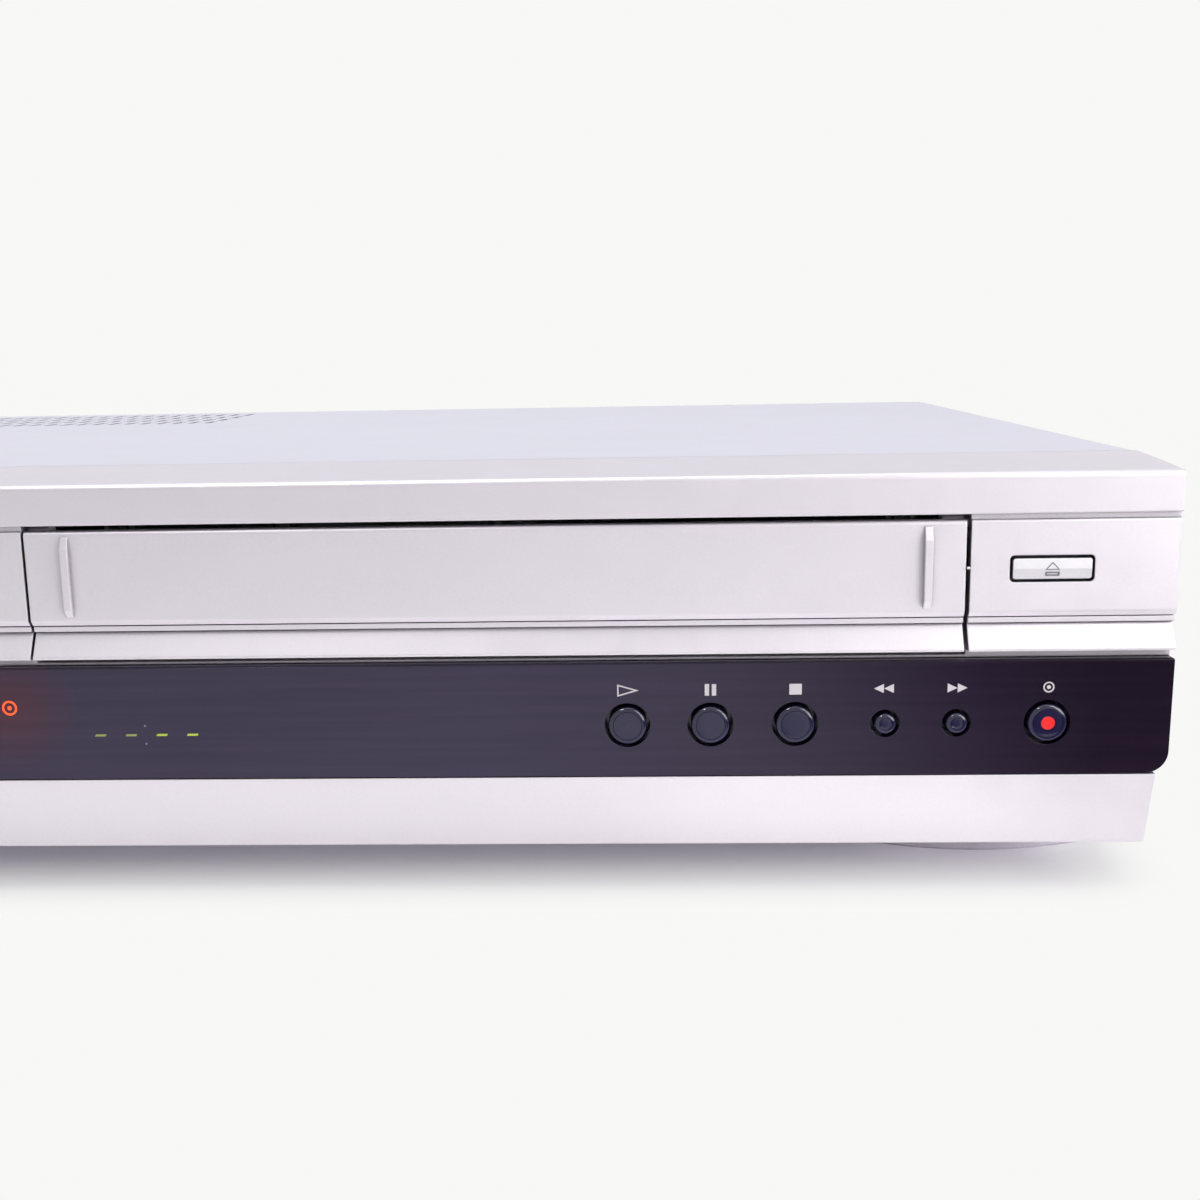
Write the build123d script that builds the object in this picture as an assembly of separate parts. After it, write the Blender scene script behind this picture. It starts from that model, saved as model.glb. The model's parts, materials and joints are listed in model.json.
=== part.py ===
from build123d import *
from math import atan2, cos, degrees, hypot, pi, radians, sin, tan
import os

# A full-width disc player and cassette recorder in one case.
# Sizes are in millimetres. X runs to the right along the front, Y goes back from the
# front band's face, and Z goes up from the table. The finished pieces are moved along Y
# at the end, so that the origin lies on the table below the middle of the case.

# ------------------------------------------------------------------ the case
width = 430.0
height = 99.4            # table to top cover
depth = 263.0            # band face to the cover's rear edge
case_bottom = 12.4       # table to the case's underside
cover_inset = 1.5        # cover inside the case's width, each side
cover_wall = 0.8
cover_corner = 2.0
sheet = 1.0              # chassis sheet
panel_wall = 0.8         # rear panel sheet
rear_overhang = 2.0      # cover past the rear panel
fit_gap = 0.2            # between pieces that seat on each other
slip_gap = 0.3           # between pieces on different bodies
running_gap = 0.05       # round a turning shaft

# ------------------------------------------------------------------ levels of the front
strip_bottom = 28.2
strip_top = 55.3
bevel_bottom = 57.2
bevel_top = 63.2
lip_bottom = 64.9
face_bottom = 66.1
face_top = height - 12.7
band_bottom = height - 11.4
band_top = height - 2.3
line_width = 0.25        # the two thin lines above the bevel

# ------------------------------------------------------------------ depths of the front
bezel_depth = 23.5
bezel_wall = 2.2
groove_depth = 1.2       # groove between the side panels and the band
bevel_out = -1.0
bevel_in = 2.0
line_depth = 2.3
ridge_depth = 1.1
lip_depth = 0.9
face_lean = 0.58         # how far the face leans back at its top
panel_back = 3.0         # inside of the side panels
low_back = 5.0           # inside of the bezel behind the strip and below
strip_wall = 2.6
strip_proud = 0.4        # strip past the case's width, each side
strip_side = 2.0         # wall of the strip's ends
strip_return = 8.0
foot_strip_top = 1.2     # depth of the bottom strip's face, top and bottom
foot_strip_low = 2.6
foot_strip_inset = 2.2   # bottom strip inside the case's width, each side
foot_strip_taper = 1.0
bezel_corner = 4.5
strip_corner = 5.0
panel_edge = 0.5         # radius of the side panels' top edge

half = width / 2
cover_half = half - cover_inset
chassis_half = cover_half - cover_wall - slip_gap
strip_half = half + strip_proud
foot_strip_half = half - foot_strip_inset
rear_y = depth - rear_overhang - panel_wall
floor_top = case_bottom + sheet

# ------------------------------------------------------------------ cassette door
door_width = 211.2
door_end = 46.5          # door's right edge to the case's right end
door_gap_left = 0.65
door_gap_right = 1.05
door_back = 3.0
door_edge = 1.0          # radius of the door's top edge
hinge_y = 4.4
hinge_drop = 0.7         # hinge line below the door's top
pin_r = 1.25
lug_r = 2.0
lug_length = 5.0
ear_gap = 0.3
ear_wall = 2.5
ear_half = 3.5
spring_length = 6.0
spring_r = 2.1
rib_width = 1.7
rib_height = 1.2
rib_left = 9.3           # rib's middle from the door's edge
rib_right = 8.35

door_right = half - door_end
door_left = door_right - door_width
hinge_z = face_top - hinge_drop
ear_in = door_right + door_gap_right + ear_gap
ear_out = ear_in + ear_wall
swing_reach = hypot(hinge_y - bevel_out, hinge_z - bevel_bottom)
foremost = min(bevel_out, -rib_height)
mid_y = (depth + foremost) / 2

# ------------------------------------------------------------------ buttons
button_z = 40.5
button_travel = 0.8
cap_front = -0.8
round_gap = 0.85         # round a large cap in its hole
big_cap_r = 4.35
small_cap_r = 2.4
cap_chamfer = 0.7
small_chamfer = 0.45
flange_edge = 1.65       # flange past the cap
flange_wall = 1.0
stem_r = 2.2
bar_width = 18.6         # slot of the long buttons
bar_height = 6.0
bar_corner = 1.0
bar_gap = 0.7
bar_z = 75.7
bar_proud = 0.3
board_y = 16.3
board_wall = 1.6
switch_size = 6.0
switch_body = 3.5
plunger_r = 1.7
plunger_length = 0.5
small_board = 14.0       # half width of the boards behind the long buttons
small_board_rise = 8.0   # half height of those boards
guide_post_r = 1.5       # posts beside the long buttons
guide_post_out = 3.2     # from the slot's end
stem_end = board_y - switch_body - plunger_length - button_travel - slip_gap

# distance from the right end, and whether the cap is a large one
right_buttons = {
    "play_button": (121.8, True),
    "pause_button": (102.9, True),
    "stop_button": (83.7, True),
    "rewind_button": (63.4, False),
    "forward_button": (47.4, False),
    "record_button": (27.1, True),
}
# distance from the left end
left_buttons = {
    "open_close_button": (80.0, True),
    "source_button": (100.0, True),
    "channel_down_button": (119.0, False),
    "channel_up_button": (135.0, False),
}
round_buttons = {name: (half - x, big) for name, (x, big) in right_buttons.items()}
round_buttons |= {name: (x - half, big) for name, (x, big) in left_buttons.items()}
bar_buttons = {"cassette_eject_button": half - 27.6, "power_button": 14.5 - half}

# ------------------------------------------------------------------ front sockets, display
socket_pitch = 15.0
socket_first = 20.0      # first front socket from the left end
socket_r = 4.15
socket_front = 0.4
socket_bore = 1.6
socket_depth = 12.6
socket_block = 12.0
socket_z = 41.0
front_sockets_x = [socket_first - half + socket_pitch * i for i in range(3)]
display_x = half - 244.0
display_width = 68.0
display_bottom = 33.0
display_top = 51.0
display_front = 8.0
post_r = 3.0
post_z = 22.6
board_posts_x = [65.0 - half, 160.0 - half, half - 155.0, half - 10.0]

# ------------------------------------------------------------------ feet and screws
foot_x = half - 34.5
foot_y = 41.2
foot_half_x = 29.0
foot_half_y = 17.5
foot_side_y = 11.0       # half depth at the foot's ends
foot_corner = 6.0
foot_back = 45.2         # rear feet's middle from the cover's rear edge
screw_r = 1.5
screw_head_r = 4.0
screw_head = 1.3
screw_length = 6.0
screw_slot = (4.2, 0.8, 1.2)
side_screw_z = 28.0
side_screws_y = [60.0, depth - 30.0]
side_wall_top = 40.0     # chassis side walls
front_flange = 8.0       # chassis front flange above its floor
floor_slots = 9          # slots in the floor under the cassette drive
floor_slot_width = 3.0
floor_slot_length = 40.0
floor_slot_pitch = 16.0
rear_screw_z = 17.5
rear_screws_x = [-150.0, -50.0, 50.0, 150.0]
flange_height = 10.0     # chassis rear flange above its floor

# ------------------------------------------------------------------ vents in the cover
vent_width = 2.2
vent_length = 12.0
vent_pitch_x = 6.0
vent_pitch_y = 16.0
vent_columns = 22
vent_rows = 4
vent_left = 25.0         # first column from the left end
vent_rear = 18.0         # last row's middle from the cover's rear edge

# ------------------------------------------------------------------ disc drive
tray_x = 96.0 - half
tray_rim = 4.5           # tray past the disc, each side
tray_travel = 140.0
tray_wall = 5.0
tray_floor = 3.0         # under the disc
tray_start = 3.2
tray_corner = 4.0
tray_bottom = face_top - 13.7
disc_r = 60.5
disc_clear = 1.0         # lifted disc above the tray's floor
disc_y = 68.0
spindle_hole_r = 17.5
sled_slot_gap = 1.0      # tray's slot past the pickup's sides
sled_slot_end = 150.0
front_side = 2.0         # tray front past the tray, each side
front_top = face_top - 2.5
front_height = 14.7
front_gap = 0.5
gear_module = 1.0
gear_teeth = 16
wheel_module = 0.8
wheel_teeth = 45
motor_teeth = 12
tooth_play = 0.2         # taken off each side of a tooth
wheel_wall = 5.0
wheel_drop = 11.0        # tray's underside to the wheel's
wheel_hub_r = 5.5
gear_x = -45.0           # from the tray's middle
gear_y = 34.0
gear_post_r = 2.0
rack_height = 3.4
rack_back = 6.5
loader_side = 5.0        # loader past the tray, each side
loader_front = board_y + board_wall + 0.6
loader_floor = 2.0
loader_drop = 15.0       # tray's underside to the loader's underside
loader_rise = 13.0       # tray's underside to the loader's top
ledge = 4.0
ledge_wall = 1.2
loading_motor_r = 10.0
loading_motor_length = 15.0
motor_shaft_r = 1.0
post_inset_x = 10.0
loader_post_r = 5.0
lift = 5.5
lift_guides = ((-28.0, 54.0), (28.0, 54.0), (-28.0, 172.0), (28.0, 172.0))
guide_r = 2.0
guide_gap = 0.1
traverse_half = 31.0
traverse_front = 49.0
traverse_end = 177.0
traverse_wall = 2.0
traverse_rise = 2.0      # traverse above the loader's floor at rest
spindle_motor_r = 14.0
spindle_motor_height = 5.5
spindle_neck_r = 3.8
spindle_shaft_r = 1.0
turntable_r = 14.5
cone_r = 7.4
sled_half = 22.0
sled_start = 84.5
sled_length = 23.5
sled_travel = 35.0
rod_r = 1.5
rod_offset = 19.0
lens_r = 3.5
clamp_r = 13.0
clamp_neck_r = 8.0
bridge_width = 20.0
bridge_wall = 1.2

tray_half = disc_r + tray_rim
front_half = tray_half + front_side
loader_half = tray_half + loader_side
sled_slot = sled_half + sled_slot_gap
table_top = tray_bottom + tray_floor + disc_clear - lift
pitch_r = gear_module * gear_teeth / 2
wheel_r = wheel_module * wheel_teeth / 2
motor_gear_r = wheel_module * motor_teeth / 2
motor_gear_x = gear_x + wheel_r + motor_gear_r
tray_end = gear_y + tray_travel + 4.0
loader_end = tray_end + 6.0
loader_bottom = tray_bottom - loader_drop
loader_deck = loader_bottom + loader_floor
traverse_bottom = loader_deck + traverse_rise
rod_z_level = traverse_bottom + traverse_wall + 2.0
loader_top = tray_bottom + loader_rise
front_bottom = front_top - front_height
loader_posts_y = (40.0, 170.0)
loader_posts = [(tray_x + side * (loader_half - post_inset_x), y) for side in (-1, 1) for y in loader_posts_y]

# ------------------------------------------------------------------ cassette drive
cassette_width = 187.0
cassette_height = 25.0
cassette_depth = 103.0
cassette_play = 0.75     # each side of the cassette in its holder
cassette_x = door_right - 105.6
holder_bottom = bevel_bottom + 0.8
holder_wall = 1.2
holder_rail = 14.0
holder_length = 70.0
bridge_length = 40.0
holder_drop = 28.0
slider_wall = 1.2
side_gap = 0.75
peg_r = 2.0
peg_gap = 0.25
bracket_wall = 1.2
deck_bottom = case_bottom + 11.6
deck_wall = 2.0
deck_half = 102.0
deck_ahead = 60.0        # deck in front of the reels
deck_behind = 35.0       # deck behind the drum's middle
deck_post_r = 4.0
deck_post_inset = 9.0
drum_r = 31.0
drum_tilt = 5.0          # degrees
drum_back = 47.2         # drum's middle to the rear panel
lower_drum_height = 12.0
upper_drum_height = 13.0
drum_slit = 0.4
drum_rise = 11.0         # deck to the lower drum's underside
drum_shaft_r = 3.0
drum_foot_r = 24.0
# tape guide posts: degrees about the drum, and distance from its side
guide_places = ((205.9, 42.3), (215.4, 15.6), (189.5, 42.0), (281.6, 8.8))
reel_spread = 46.0
reel_r = 22.0
reel_hub_r = 8.0
reel_post_r = 2.5
reel_rise = 2.0          # reels above the deck
reel_height = 15.0
capstan_side = 44.0      # from the mechanism's middle
capstan_back = -27.0     # from the drum's middle
capstan_r = 2.0
flywheel_r = 24.0
flywheel_height = 6.0
bearing_r = 5.0
bearing_height = 6.0
capstan_height = 34.0    # above the deck
roller_r = 7.0
arm_pivot = (74.0, -13.0)
arm_swing = 18.0         # degrees
arm_pin_r = 2.5
roller_pin_r = 1.5
nip_gap = 0.3
arm_rise = 4.0           # arm above the deck
arm_wall = 2.0
arm_hub_r = 4.4
arm_hub_height = 18.0
roller_height = 17.0

holder_front = hinge_y + swing_reach + 1.9
holder_half = cassette_width / 2 + cassette_play
holder_height = cassette_height + 3.6
slider_half = holder_half + holder_wall + side_gap
bracket_half = slider_half + slider_wall + side_gap + 1.65
deck_top = deck_bottom + deck_wall
drum_y = rear_y - drum_back
loaded_end = drum_y - drum_r - 7.0
loaded_front = loaded_end - cassette_depth
holder_travel = loaded_end - 4.0 - holder_length - holder_front
reel_y = loaded_front + 48.0
capstan_x = cassette_x + capstan_side
capstan_y = drum_y + capstan_back
arm_x = cassette_x + arm_pivot[0]
arm_y = drum_y + arm_pivot[1]

# the roller's place on the capstan, and its place at rest
nip_x = capstan_x + 0.6 * (capstan_r + roller_r + nip_gap)
nip_y = capstan_y - 0.8 * (capstan_r + roller_r + nip_gap)
arm_length = hypot(nip_x - arm_x, nip_y - arm_y)
rest_angle = atan2(nip_y - arm_y, nip_x - arm_x) + radians(arm_swing)
roller_x = arm_x + arm_length * cos(rest_angle)
roller_y = arm_y + arm_length * sin(rest_angle)

# ------------------------------------------------------------------ boards and rear sockets
board_end = 9.0          # front board's ends from the case's ends
front_board_z = (17.0, 53.0)
circuit_z = 20.0
circuit_top = circuit_z + board_wall
circuit_front = 28.0
circuit_end = rear_y - 12.2
main_board_x = (95.0 - half, 169.0 - half)
power_board_x = (9.0 - half, 89.0 - half)
chips = ((24.0, 70.0, 26.0), (50.0, 110.0, 18.0), (20.0, 130.0, 14.0))   # x, y and size
chip_height = 2.4
fin_wall = 2.0
fin_pitch = 6.5
fin_length = 12.0
fin_height = 26.0
core_half = (15.0, 13.0)  # the transformer's core
core_leg = 5.0
bobbin_end = 16.0
cable_clear = 0.6        # flat cables above the boards
cable_width = 20.0
cable_wall = 0.4
boss_r = 3.0
boss_inset = 6.0
pan_depth = 9.0
pan_bottom = 24.0
pan_top = 68.0
socket_pan = (41.0 - half, 163.0 - half)
tuner_pan = (half - 47.0, half - 7.0)
rear_columns = 7
rear_pitch = 15.6
rear_rows = (34.0, 52.0)
rear_first = 55.0 - half
rear_jack_length = 8.4
tuner_x = (half - 43.0, half - 10.0)
tuner_z = (30.0, 62.0)
tuner_length = 61.0
antenna_r = 4.7
antenna_neck_r = 4.4     # behind the thread, in the pan's hole
antenna_bore = 1.2
antenna_bore_depth = 7.0
antenna_x = [half - 35.0, half - 19.0]
antenna_z = 46.0
cord_x = 19.0 - half
cord_z = 40.0
cord_bore = 3.2
bush_relief = 0.4        # the bore's extra radius inside the outer lip
bush_r = 6.0
bush_lip = 1.6           # the bush's lips, beyond its neck and the sheet

pan_y = rear_y + panel_wall - pan_depth
rear_bore_depth = rear_jack_length - panel_wall - fit_gap


# ------------------------------------------------------------------ shapes
def box(x, y, z):
    """A box between two values on each axis."""
    size = [b - a for a, b in (x, y, z)]
    middle = [(a + b) / 2 for a, b in (x, y, z)]
    return Pos(*middle) * Box(*size)


def rod_x(y, z, x, radius):
    """A round bar along X, between two values of x."""
    return Pos((x[0] + x[1]) / 2, y, z) * Rot(0, 90, 0) * Cylinder(radius, x[1] - x[0])


def rod_y(x, z, y, radius):
    """A round bar along Y, between two values of y."""
    return Pos(x, (y[0] + y[1]) / 2, z) * Rot(90, 0, 0) * Cylinder(radius, y[1] - y[0])


def rod_z(x, y, z, radius):
    """A round bar along Z, between two values of z."""
    return Pos(x, y, (z[0] + z[1]) / 2) * Cylinder(radius, z[1] - z[0])


def outline(corners):
    """A closed face through corners (a, b) or, where the corner is round, (a, b, radius)."""
    radii = [corner[2] if len(corner) > 2 else 0 for corner in corners]
    return make_face(FilletPolyline(*[corner[:2] for corner in corners], radius=radii, close=True))


def along_x(corners, x):
    """An outline of (y, z) corners drawn out along X."""
    face = Plane.YZ.offset(x[0]) * outline(corners)
    return extrude(face, amount=x[1] - x[0], dir=(1, 0, 0))


def along_y(corners, y):
    """An outline of (x, z) corners drawn out along Y."""
    face = Plane.XZ.offset(-y[0]) * outline(corners)
    return extrude(face, amount=y[1] - y[0], dir=(0, 1, 0))


def along_z(corners, z):
    """An outline of (x, y) corners drawn out along Z."""
    face = Plane.XY.offset(z[0]) * outline(corners)
    return extrude(face, amount=z[1] - z[0], dir=(0, 0, 1))


def rectangle(middle_a, middle_b, size_a, size_b, corner):
    """The corners of a rectangle with round corners."""
    a, b = size_a / 2, size_b / 2
    signs = ((-1, -1), (1, -1), (1, 1), (-1, 1))
    return [(middle_a + sa * a, middle_b + sb * b, corner) for sa, sb in signs]


def tooth_half_widths(module):
    """Half a tooth's width at its root, pitch line and tip."""
    middle = pi * module / 4 - tooth_play
    slope = tan(radians(20))
    return middle + 1.25 * module * slope, middle, middle - 0.8 * module * slope


def gear_face(module, teeth, turn=0.0):
    """A spur gear's outline, with a tooth on +X when turn is 0 degrees."""
    radius = module * teeth / 2
    root, _, tip = tooth_half_widths(module)
    corners = []
    for i in range(teeth):
        angle = 2 * pi * i / teeth + radians(turn)
        for across, along in (
            (-root, radius - 1.25 * module),
            (-tip, radius + 0.8 * module),
            (tip, radius + 0.8 * module),
            (root, radius - 1.25 * module),
        ):
            x = along * cos(angle) - across * sin(angle)
            y = along * sin(angle) + across * cos(angle)
            corners.append((x, y))
    return make_face(Polyline(*corners, close=True))


# ------------------------------------------------------------------ front
def face_corners(top_radius):
    """The door's and side panels' section (y, z), from the bevel's foot to the face's top."""
    return [
        (bevel_out + 0.3, bevel_bottom),
        (bevel_out, bevel_bottom + 0.5, 0.3),
        (bevel_in, bevel_top),
        (line_depth, bevel_top),
        (line_depth, bevel_top + line_width),
        (ridge_depth, bevel_top + line_width),
        (ridge_depth, lip_bottom - line_width),
        (line_depth, lip_bottom - line_width),
        (line_depth, lip_bottom),
        (lip_depth, lip_bottom, 0.2),
        (0.0, face_bottom, 0.8),
        (face_lean, face_top, top_radius),
    ]


def front_bezel():
    """The silver moulding: band, side panels and bottom strip in one, open at the back."""
    outside = [
        (bezel_depth, case_bottom),
        (foot_strip_low, case_bottom, 1.2),
        (foot_strip_top, strip_bottom),
        (strip_wall + fit_gap, strip_bottom),
        (strip_wall + fit_gap, strip_top),
        (line_depth, strip_top),
        (line_depth, bevel_bottom),
    ]
    outside += face_corners(panel_edge)
    outside += [
        (groove_depth, face_top),
        (groove_depth, band_bottom),
        (0.0, band_bottom, 0.3),
        (0.0, band_top, 1.3),
        (bezel_depth, height),
    ]
    inside = [
        (bezel_depth, height - bezel_wall),
        (panel_back, band_top - bezel_wall),
        (panel_back, face_bottom + 1.5),
        (low_back, face_bottom),
        (low_back, case_bottom + bezel_wall),
        (bezel_depth, case_bottom + bezel_wall),
    ]
    bezel = along_x(outside + inside, (-half, half))
    for x in ((-half, bezel_wall - half), (half - bezel_wall, half)):
        bezel += along_x(outside, x)
    inset = strip_half - strip_side - fit_gap
    for side in (-1, 1):
        end = sorted((side * (half - 2 * bezel_wall), side * inset))
        bezel += box(end, (low_back - 1.0, bezel_depth), (case_bottom, strip_top + 1.5))
    bezel &= along_y(bezel_front_outline(inset), (bevel_out - 1.0, bezel_depth))
    doorway = (door_left - door_gap_left, door_right + door_gap_right)
    bezel -= box(doorway, (bevel_out - 1.0, low_back + 0.1), (strip_top + 0.5, band_bottom))
    tray_hole = front_half + front_gap
    bezel -= box((tray_x - tray_hole, tray_x + tray_hole), (-1.0, low_back),
                 (front_bottom - front_gap, front_top + front_gap))
    for x in bar_buttons.values():
        bezel -= along_y(rectangle(x, bar_z, bar_width, bar_height, bar_corner), (-1.0, low_back))
        for side in (-1, 1):
            post_x = x + side * (bar_width / 2 + guide_post_out)
            bezel += rod_y(post_x, bar_z, (panel_back - 0.5, board_y), guide_post_r)
    for x, big in round_buttons.values():
        bezel -= rod_y(x, button_z, (0.0, low_back + 0.1), cap_radius(big) + round_gap)
    for x in front_sockets_x:
        bezel -= rod_y(x, socket_z, (0.0, low_back + 0.1), socket_r + 0.6)
    window = display_width / 2 + 1.0
    bezel -= box((display_x - window, display_x + window), (0.0, low_back + 0.1),
                 (display_bottom - 1, display_top + 1))
    for x in board_posts_x:
        bezel += rod_y(x, post_z, (low_back - 0.5, board_y), post_r)
    left_ear = door_left - door_gap_left - ear_gap
    for ear in ((ear_in, ear_out), (left_ear - ear_wall, left_ear)):
        bezel += box(ear, (panel_back - 0.5, hinge_y + ear_half), (hinge_z - ear_half, hinge_z + ear_half))
        bezel -= rod_x(hinge_y, hinge_z, ear, pin_r + running_gap)
    bezel -= rod_x(hinge_y, hinge_z, (ear_out, ear_out + spring_length + 1.0), spring_r + slip_gap)
    return bezel


def bezel_front_outline(inset):
    """The bezel seen from the front; inset is its half width behind the black strip."""
    right = [
        (foot_strip_half - foot_strip_taper, case_bottom, 1.5),
        (foot_strip_half, strip_bottom),
        (inset, strip_bottom),
        (inset, strip_top),
        (half, strip_top),
        (half, height + 0.5, bezel_corner),
    ]
    left = [(-corner[0], *corner[1:]) for corner in reversed(right)]
    return right + left


def display_strip():
    """The glossy black strip, with ends that wrap round the bezel's sides."""
    low, high = strip_bottom + fit_gap, strip_top - 0.1
    front = [
        (-strip_half, low, strip_corner),
        (strip_half, low, strip_corner),
        (strip_half, high, 0.6),
        (-strip_half, high, 0.6),
    ]
    strip = along_y(front, (0.0, strip_return))
    inner = strip_half - strip_side
    strip -= box((-inner, inner), (strip_wall, strip_return + 1.0), (low - 1.0, high + 1.0))
    top_edge = along_x([(-0.1, high - 0.5), (-0.1, high + 0.1), (0.5, high + 0.1)], (-half - 1, half + 1))
    strip -= top_edge
    for x, big in round_buttons.values():
        strip -= rod_y(x, button_z, (-1.0, strip_wall + 1.0), cap_radius(big) + round_gap)
    for x in front_sockets_x:
        strip -= rod_y(x, socket_z, (-1.0, strip_wall + 1.0), socket_r + 0.4)
    return strip


def cassette_door():
    """The flap over the cassette slot, with two ribs, hinge lugs and pins."""
    back = [
        (door_back, face_top),
        (door_back, face_bottom + 1.5),
        (door_back + 1.4, face_bottom),
        (door_back + 1.4, bevel_top),
        (1.6, bevel_bottom),
    ]
    door = along_x(face_corners(door_edge) + back, (door_left, door_right))
    foot, top = face_bottom + 0.9, face_top - 1.3
    for x in (door_left + rib_left, door_right - rib_right):
        lean = face_lean / (face_top - face_bottom)
        rib = [
            (1.0, foot),
            (lean * (foot - face_bottom) - 0.1, foot),
            (-rib_height, foot + 1.8, 0.3),
            (-rib_height + 0.3, top - 3.0, 0.3),
            (lean * (top - face_bottom) - 0.2, top),
            (1.0, top),
        ]
        door += along_x(rib, (x - rib_width / 2, x + rib_width / 2))
    right_pin = (door_right - 2.0, ear_out + spring_length + 0.5)
    left_pin = (door_left - door_gap_left - ear_gap - ear_wall, door_left + 2.0)
    door += rod_x(hinge_y, hinge_z, (door_right - lug_length, door_right - 0.4), lug_r)
    door += rod_x(hinge_y, hinge_z, (door_left + 0.4, door_left + lug_length), lug_r)
    door += rod_x(hinge_y, hinge_z, right_pin, pin_r)
    door += rod_x(hinge_y, hinge_z, left_pin, pin_r)
    return door


def door_spring():
    """The door's return spring, as a plain sleeve on the right pin."""
    span = (ear_out + 0.1, ear_out + spring_length)
    return rod_x(hinge_y, hinge_z, span, spring_r) - rod_x(hinge_y, hinge_z, span, spring_r - 0.5)


# ------------------------------------------------------------------ buttons
def cap_radius(big):
    """The radius of a large or small round cap."""
    return big_cap_r if big else small_cap_r


def round_button(x, big):
    """A round cap with a retaining flange and a stem that reaches its switch."""
    radius = cap_radius(big)
    flange_y = low_back + slip_gap
    cap = rod_y(x, button_z, (cap_front, flange_y), radius)
    cap = chamfer(cap.edges().group_by(Axis.Y)[0], cap_chamfer if big else small_chamfer)
    cap += rod_y(x, button_z, (flange_y, flange_y + flange_wall), radius + flange_edge)
    cap += rod_y(x, button_z, (flange_y, stem_end), min(stem_r, radius))
    return cap


def bar_button(x):
    """A long cap with a faint crease along its middle, a flange and a stem."""
    front = face_lean * (bar_z - face_bottom) / (face_top - face_bottom) - bar_proud
    flange_y = panel_back + slip_gap
    low, high = bar_z - bar_height / 2 + bar_gap, bar_z + bar_height / 2 - bar_gap
    section = rectangle(x, bar_z, bar_width - 2 * bar_gap, high - low, bar_corner - 0.4)
    cap = along_y(section, (front, flange_y))
    above = [(front, bar_z), (front + 0.1, high), (front - 0.1, high)]
    below = [(front - 0.1, low), (front + 0.25, low)]
    cap -= along_x(below + above, (x - bar_width, x + bar_width))
    flange = rectangle(x, bar_z, bar_width + 1.0, bar_height + 1.2, 0)
    cap += along_y(flange, (flange_y, flange_y + flange_wall))
    cap += rod_y(x, bar_z, (flange_y, stem_end), stem_r)
    return cap


def tact_switches():
    """One switch behind each button, on the boards."""
    places = [(x, button_z) for x, _ in round_buttons.values()]
    places += [(x, bar_z) for x in bar_buttons.values()]
    switches = []
    for x, z in places:
        reach = switch_size / 2
        body = box((x - reach, x + reach), (board_y - switch_body, board_y), (z - reach, z + reach))
        top = board_y - switch_body
        switches.append(body + rod_y(x, z, (top - plunger_length, top), plunger_r))
    return switches


# ------------------------------------------------------------------ case
def bottom_chassis():
    """The folded sheet floor, and the posts pressed into it for the boards and the disc drive."""
    front = bezel_depth + 0.5
    rear = rear_y - fit_gap
    chassis = box((-chassis_half, chassis_half), (front, rear), (case_bottom, floor_top))
    for side in (-1, 1):
        wall = sorted((side * chassis_half, side * (chassis_half - sheet)))
        chassis += box(wall, (front, rear), (case_bottom, side_wall_top))
        for y in side_screws_y:
            chassis -= rod_x(y, side_screw_z, wall, screw_r + running_gap)
    across = (-chassis_half, chassis_half)
    chassis += box(across, (rear - sheet, rear), (case_bottom, floor_top + flange_height))
    chassis += box(across, (front, front + sheet), (case_bottom, floor_top + front_flange))
    for x in rear_screws_x:
        chassis -= rod_y(x, rear_screw_z, (rear - sheet, rear), screw_r + running_gap)
    for i in range(floor_slots):
        x = cassette_x + floor_slot_pitch * (i - (floor_slots - 1) / 2)
        slot = rectangle(x, reel_y - 30.0, floor_slot_width, floor_slot_length, floor_slot_width / 2)
        chassis -= along_z(slot, (case_bottom - 1, floor_top + 1))
    posts = [rod_z(x, y, (floor_top, loader_bottom), loader_post_r) for x, y in loader_posts]
    posts += [rod_z(x, y, (floor_top, circuit_z), boss_r) for x, y in board_bosses()]
    return [chassis] + posts


def board_bosses():
    """The middles of the bosses that carry the two boards."""
    places = []
    for left, right in (main_board_x, power_board_x):
        for x in (left + boss_inset, right - boss_inset):
            for y in (circuit_front + 32.0, circuit_end - 18.0):
                places.append((x, y))
    return places


def rear_panel():
    """The rear sheet, with two pans for the sockets and a hole for the cord's bush."""
    x_half = chassis_half - 0.4
    low, high = case_bottom + 0.3, height - cover_wall - slip_gap
    panel = box((-x_half, x_half), (rear_y, rear_y + panel_wall), (low, high))
    for left, right in (socket_pan, tuner_pan):
        shell = box((left, right), (pan_y, rear_y + panel_wall), (pan_bottom, pan_top))
        wall = panel_wall
        panel += shell
        panel -= box((left + wall, right - wall), (pan_y + wall, rear_y + 2 * wall),
                     (pan_bottom + wall, pan_top - wall))
    for x, z in rear_socket_places():
        panel -= rod_y(x, z, (pan_y - 1, pan_y + 2), socket_r + fit_gap)
    for x in antenna_x:
        panel -= rod_y(x, antenna_z, (pan_y - 1, pan_y + 2), antenna_r + fit_gap)
    panel -= rod_y(cord_x, cord_z, (rear_y - 1, rear_y + 2), bush_r + fit_gap)
    for x in rear_screws_x:
        panel -= rod_y(x, rear_screw_z, (rear_y - 1, rear_y + 2), screw_r + fit_gap)
    return panel


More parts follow.
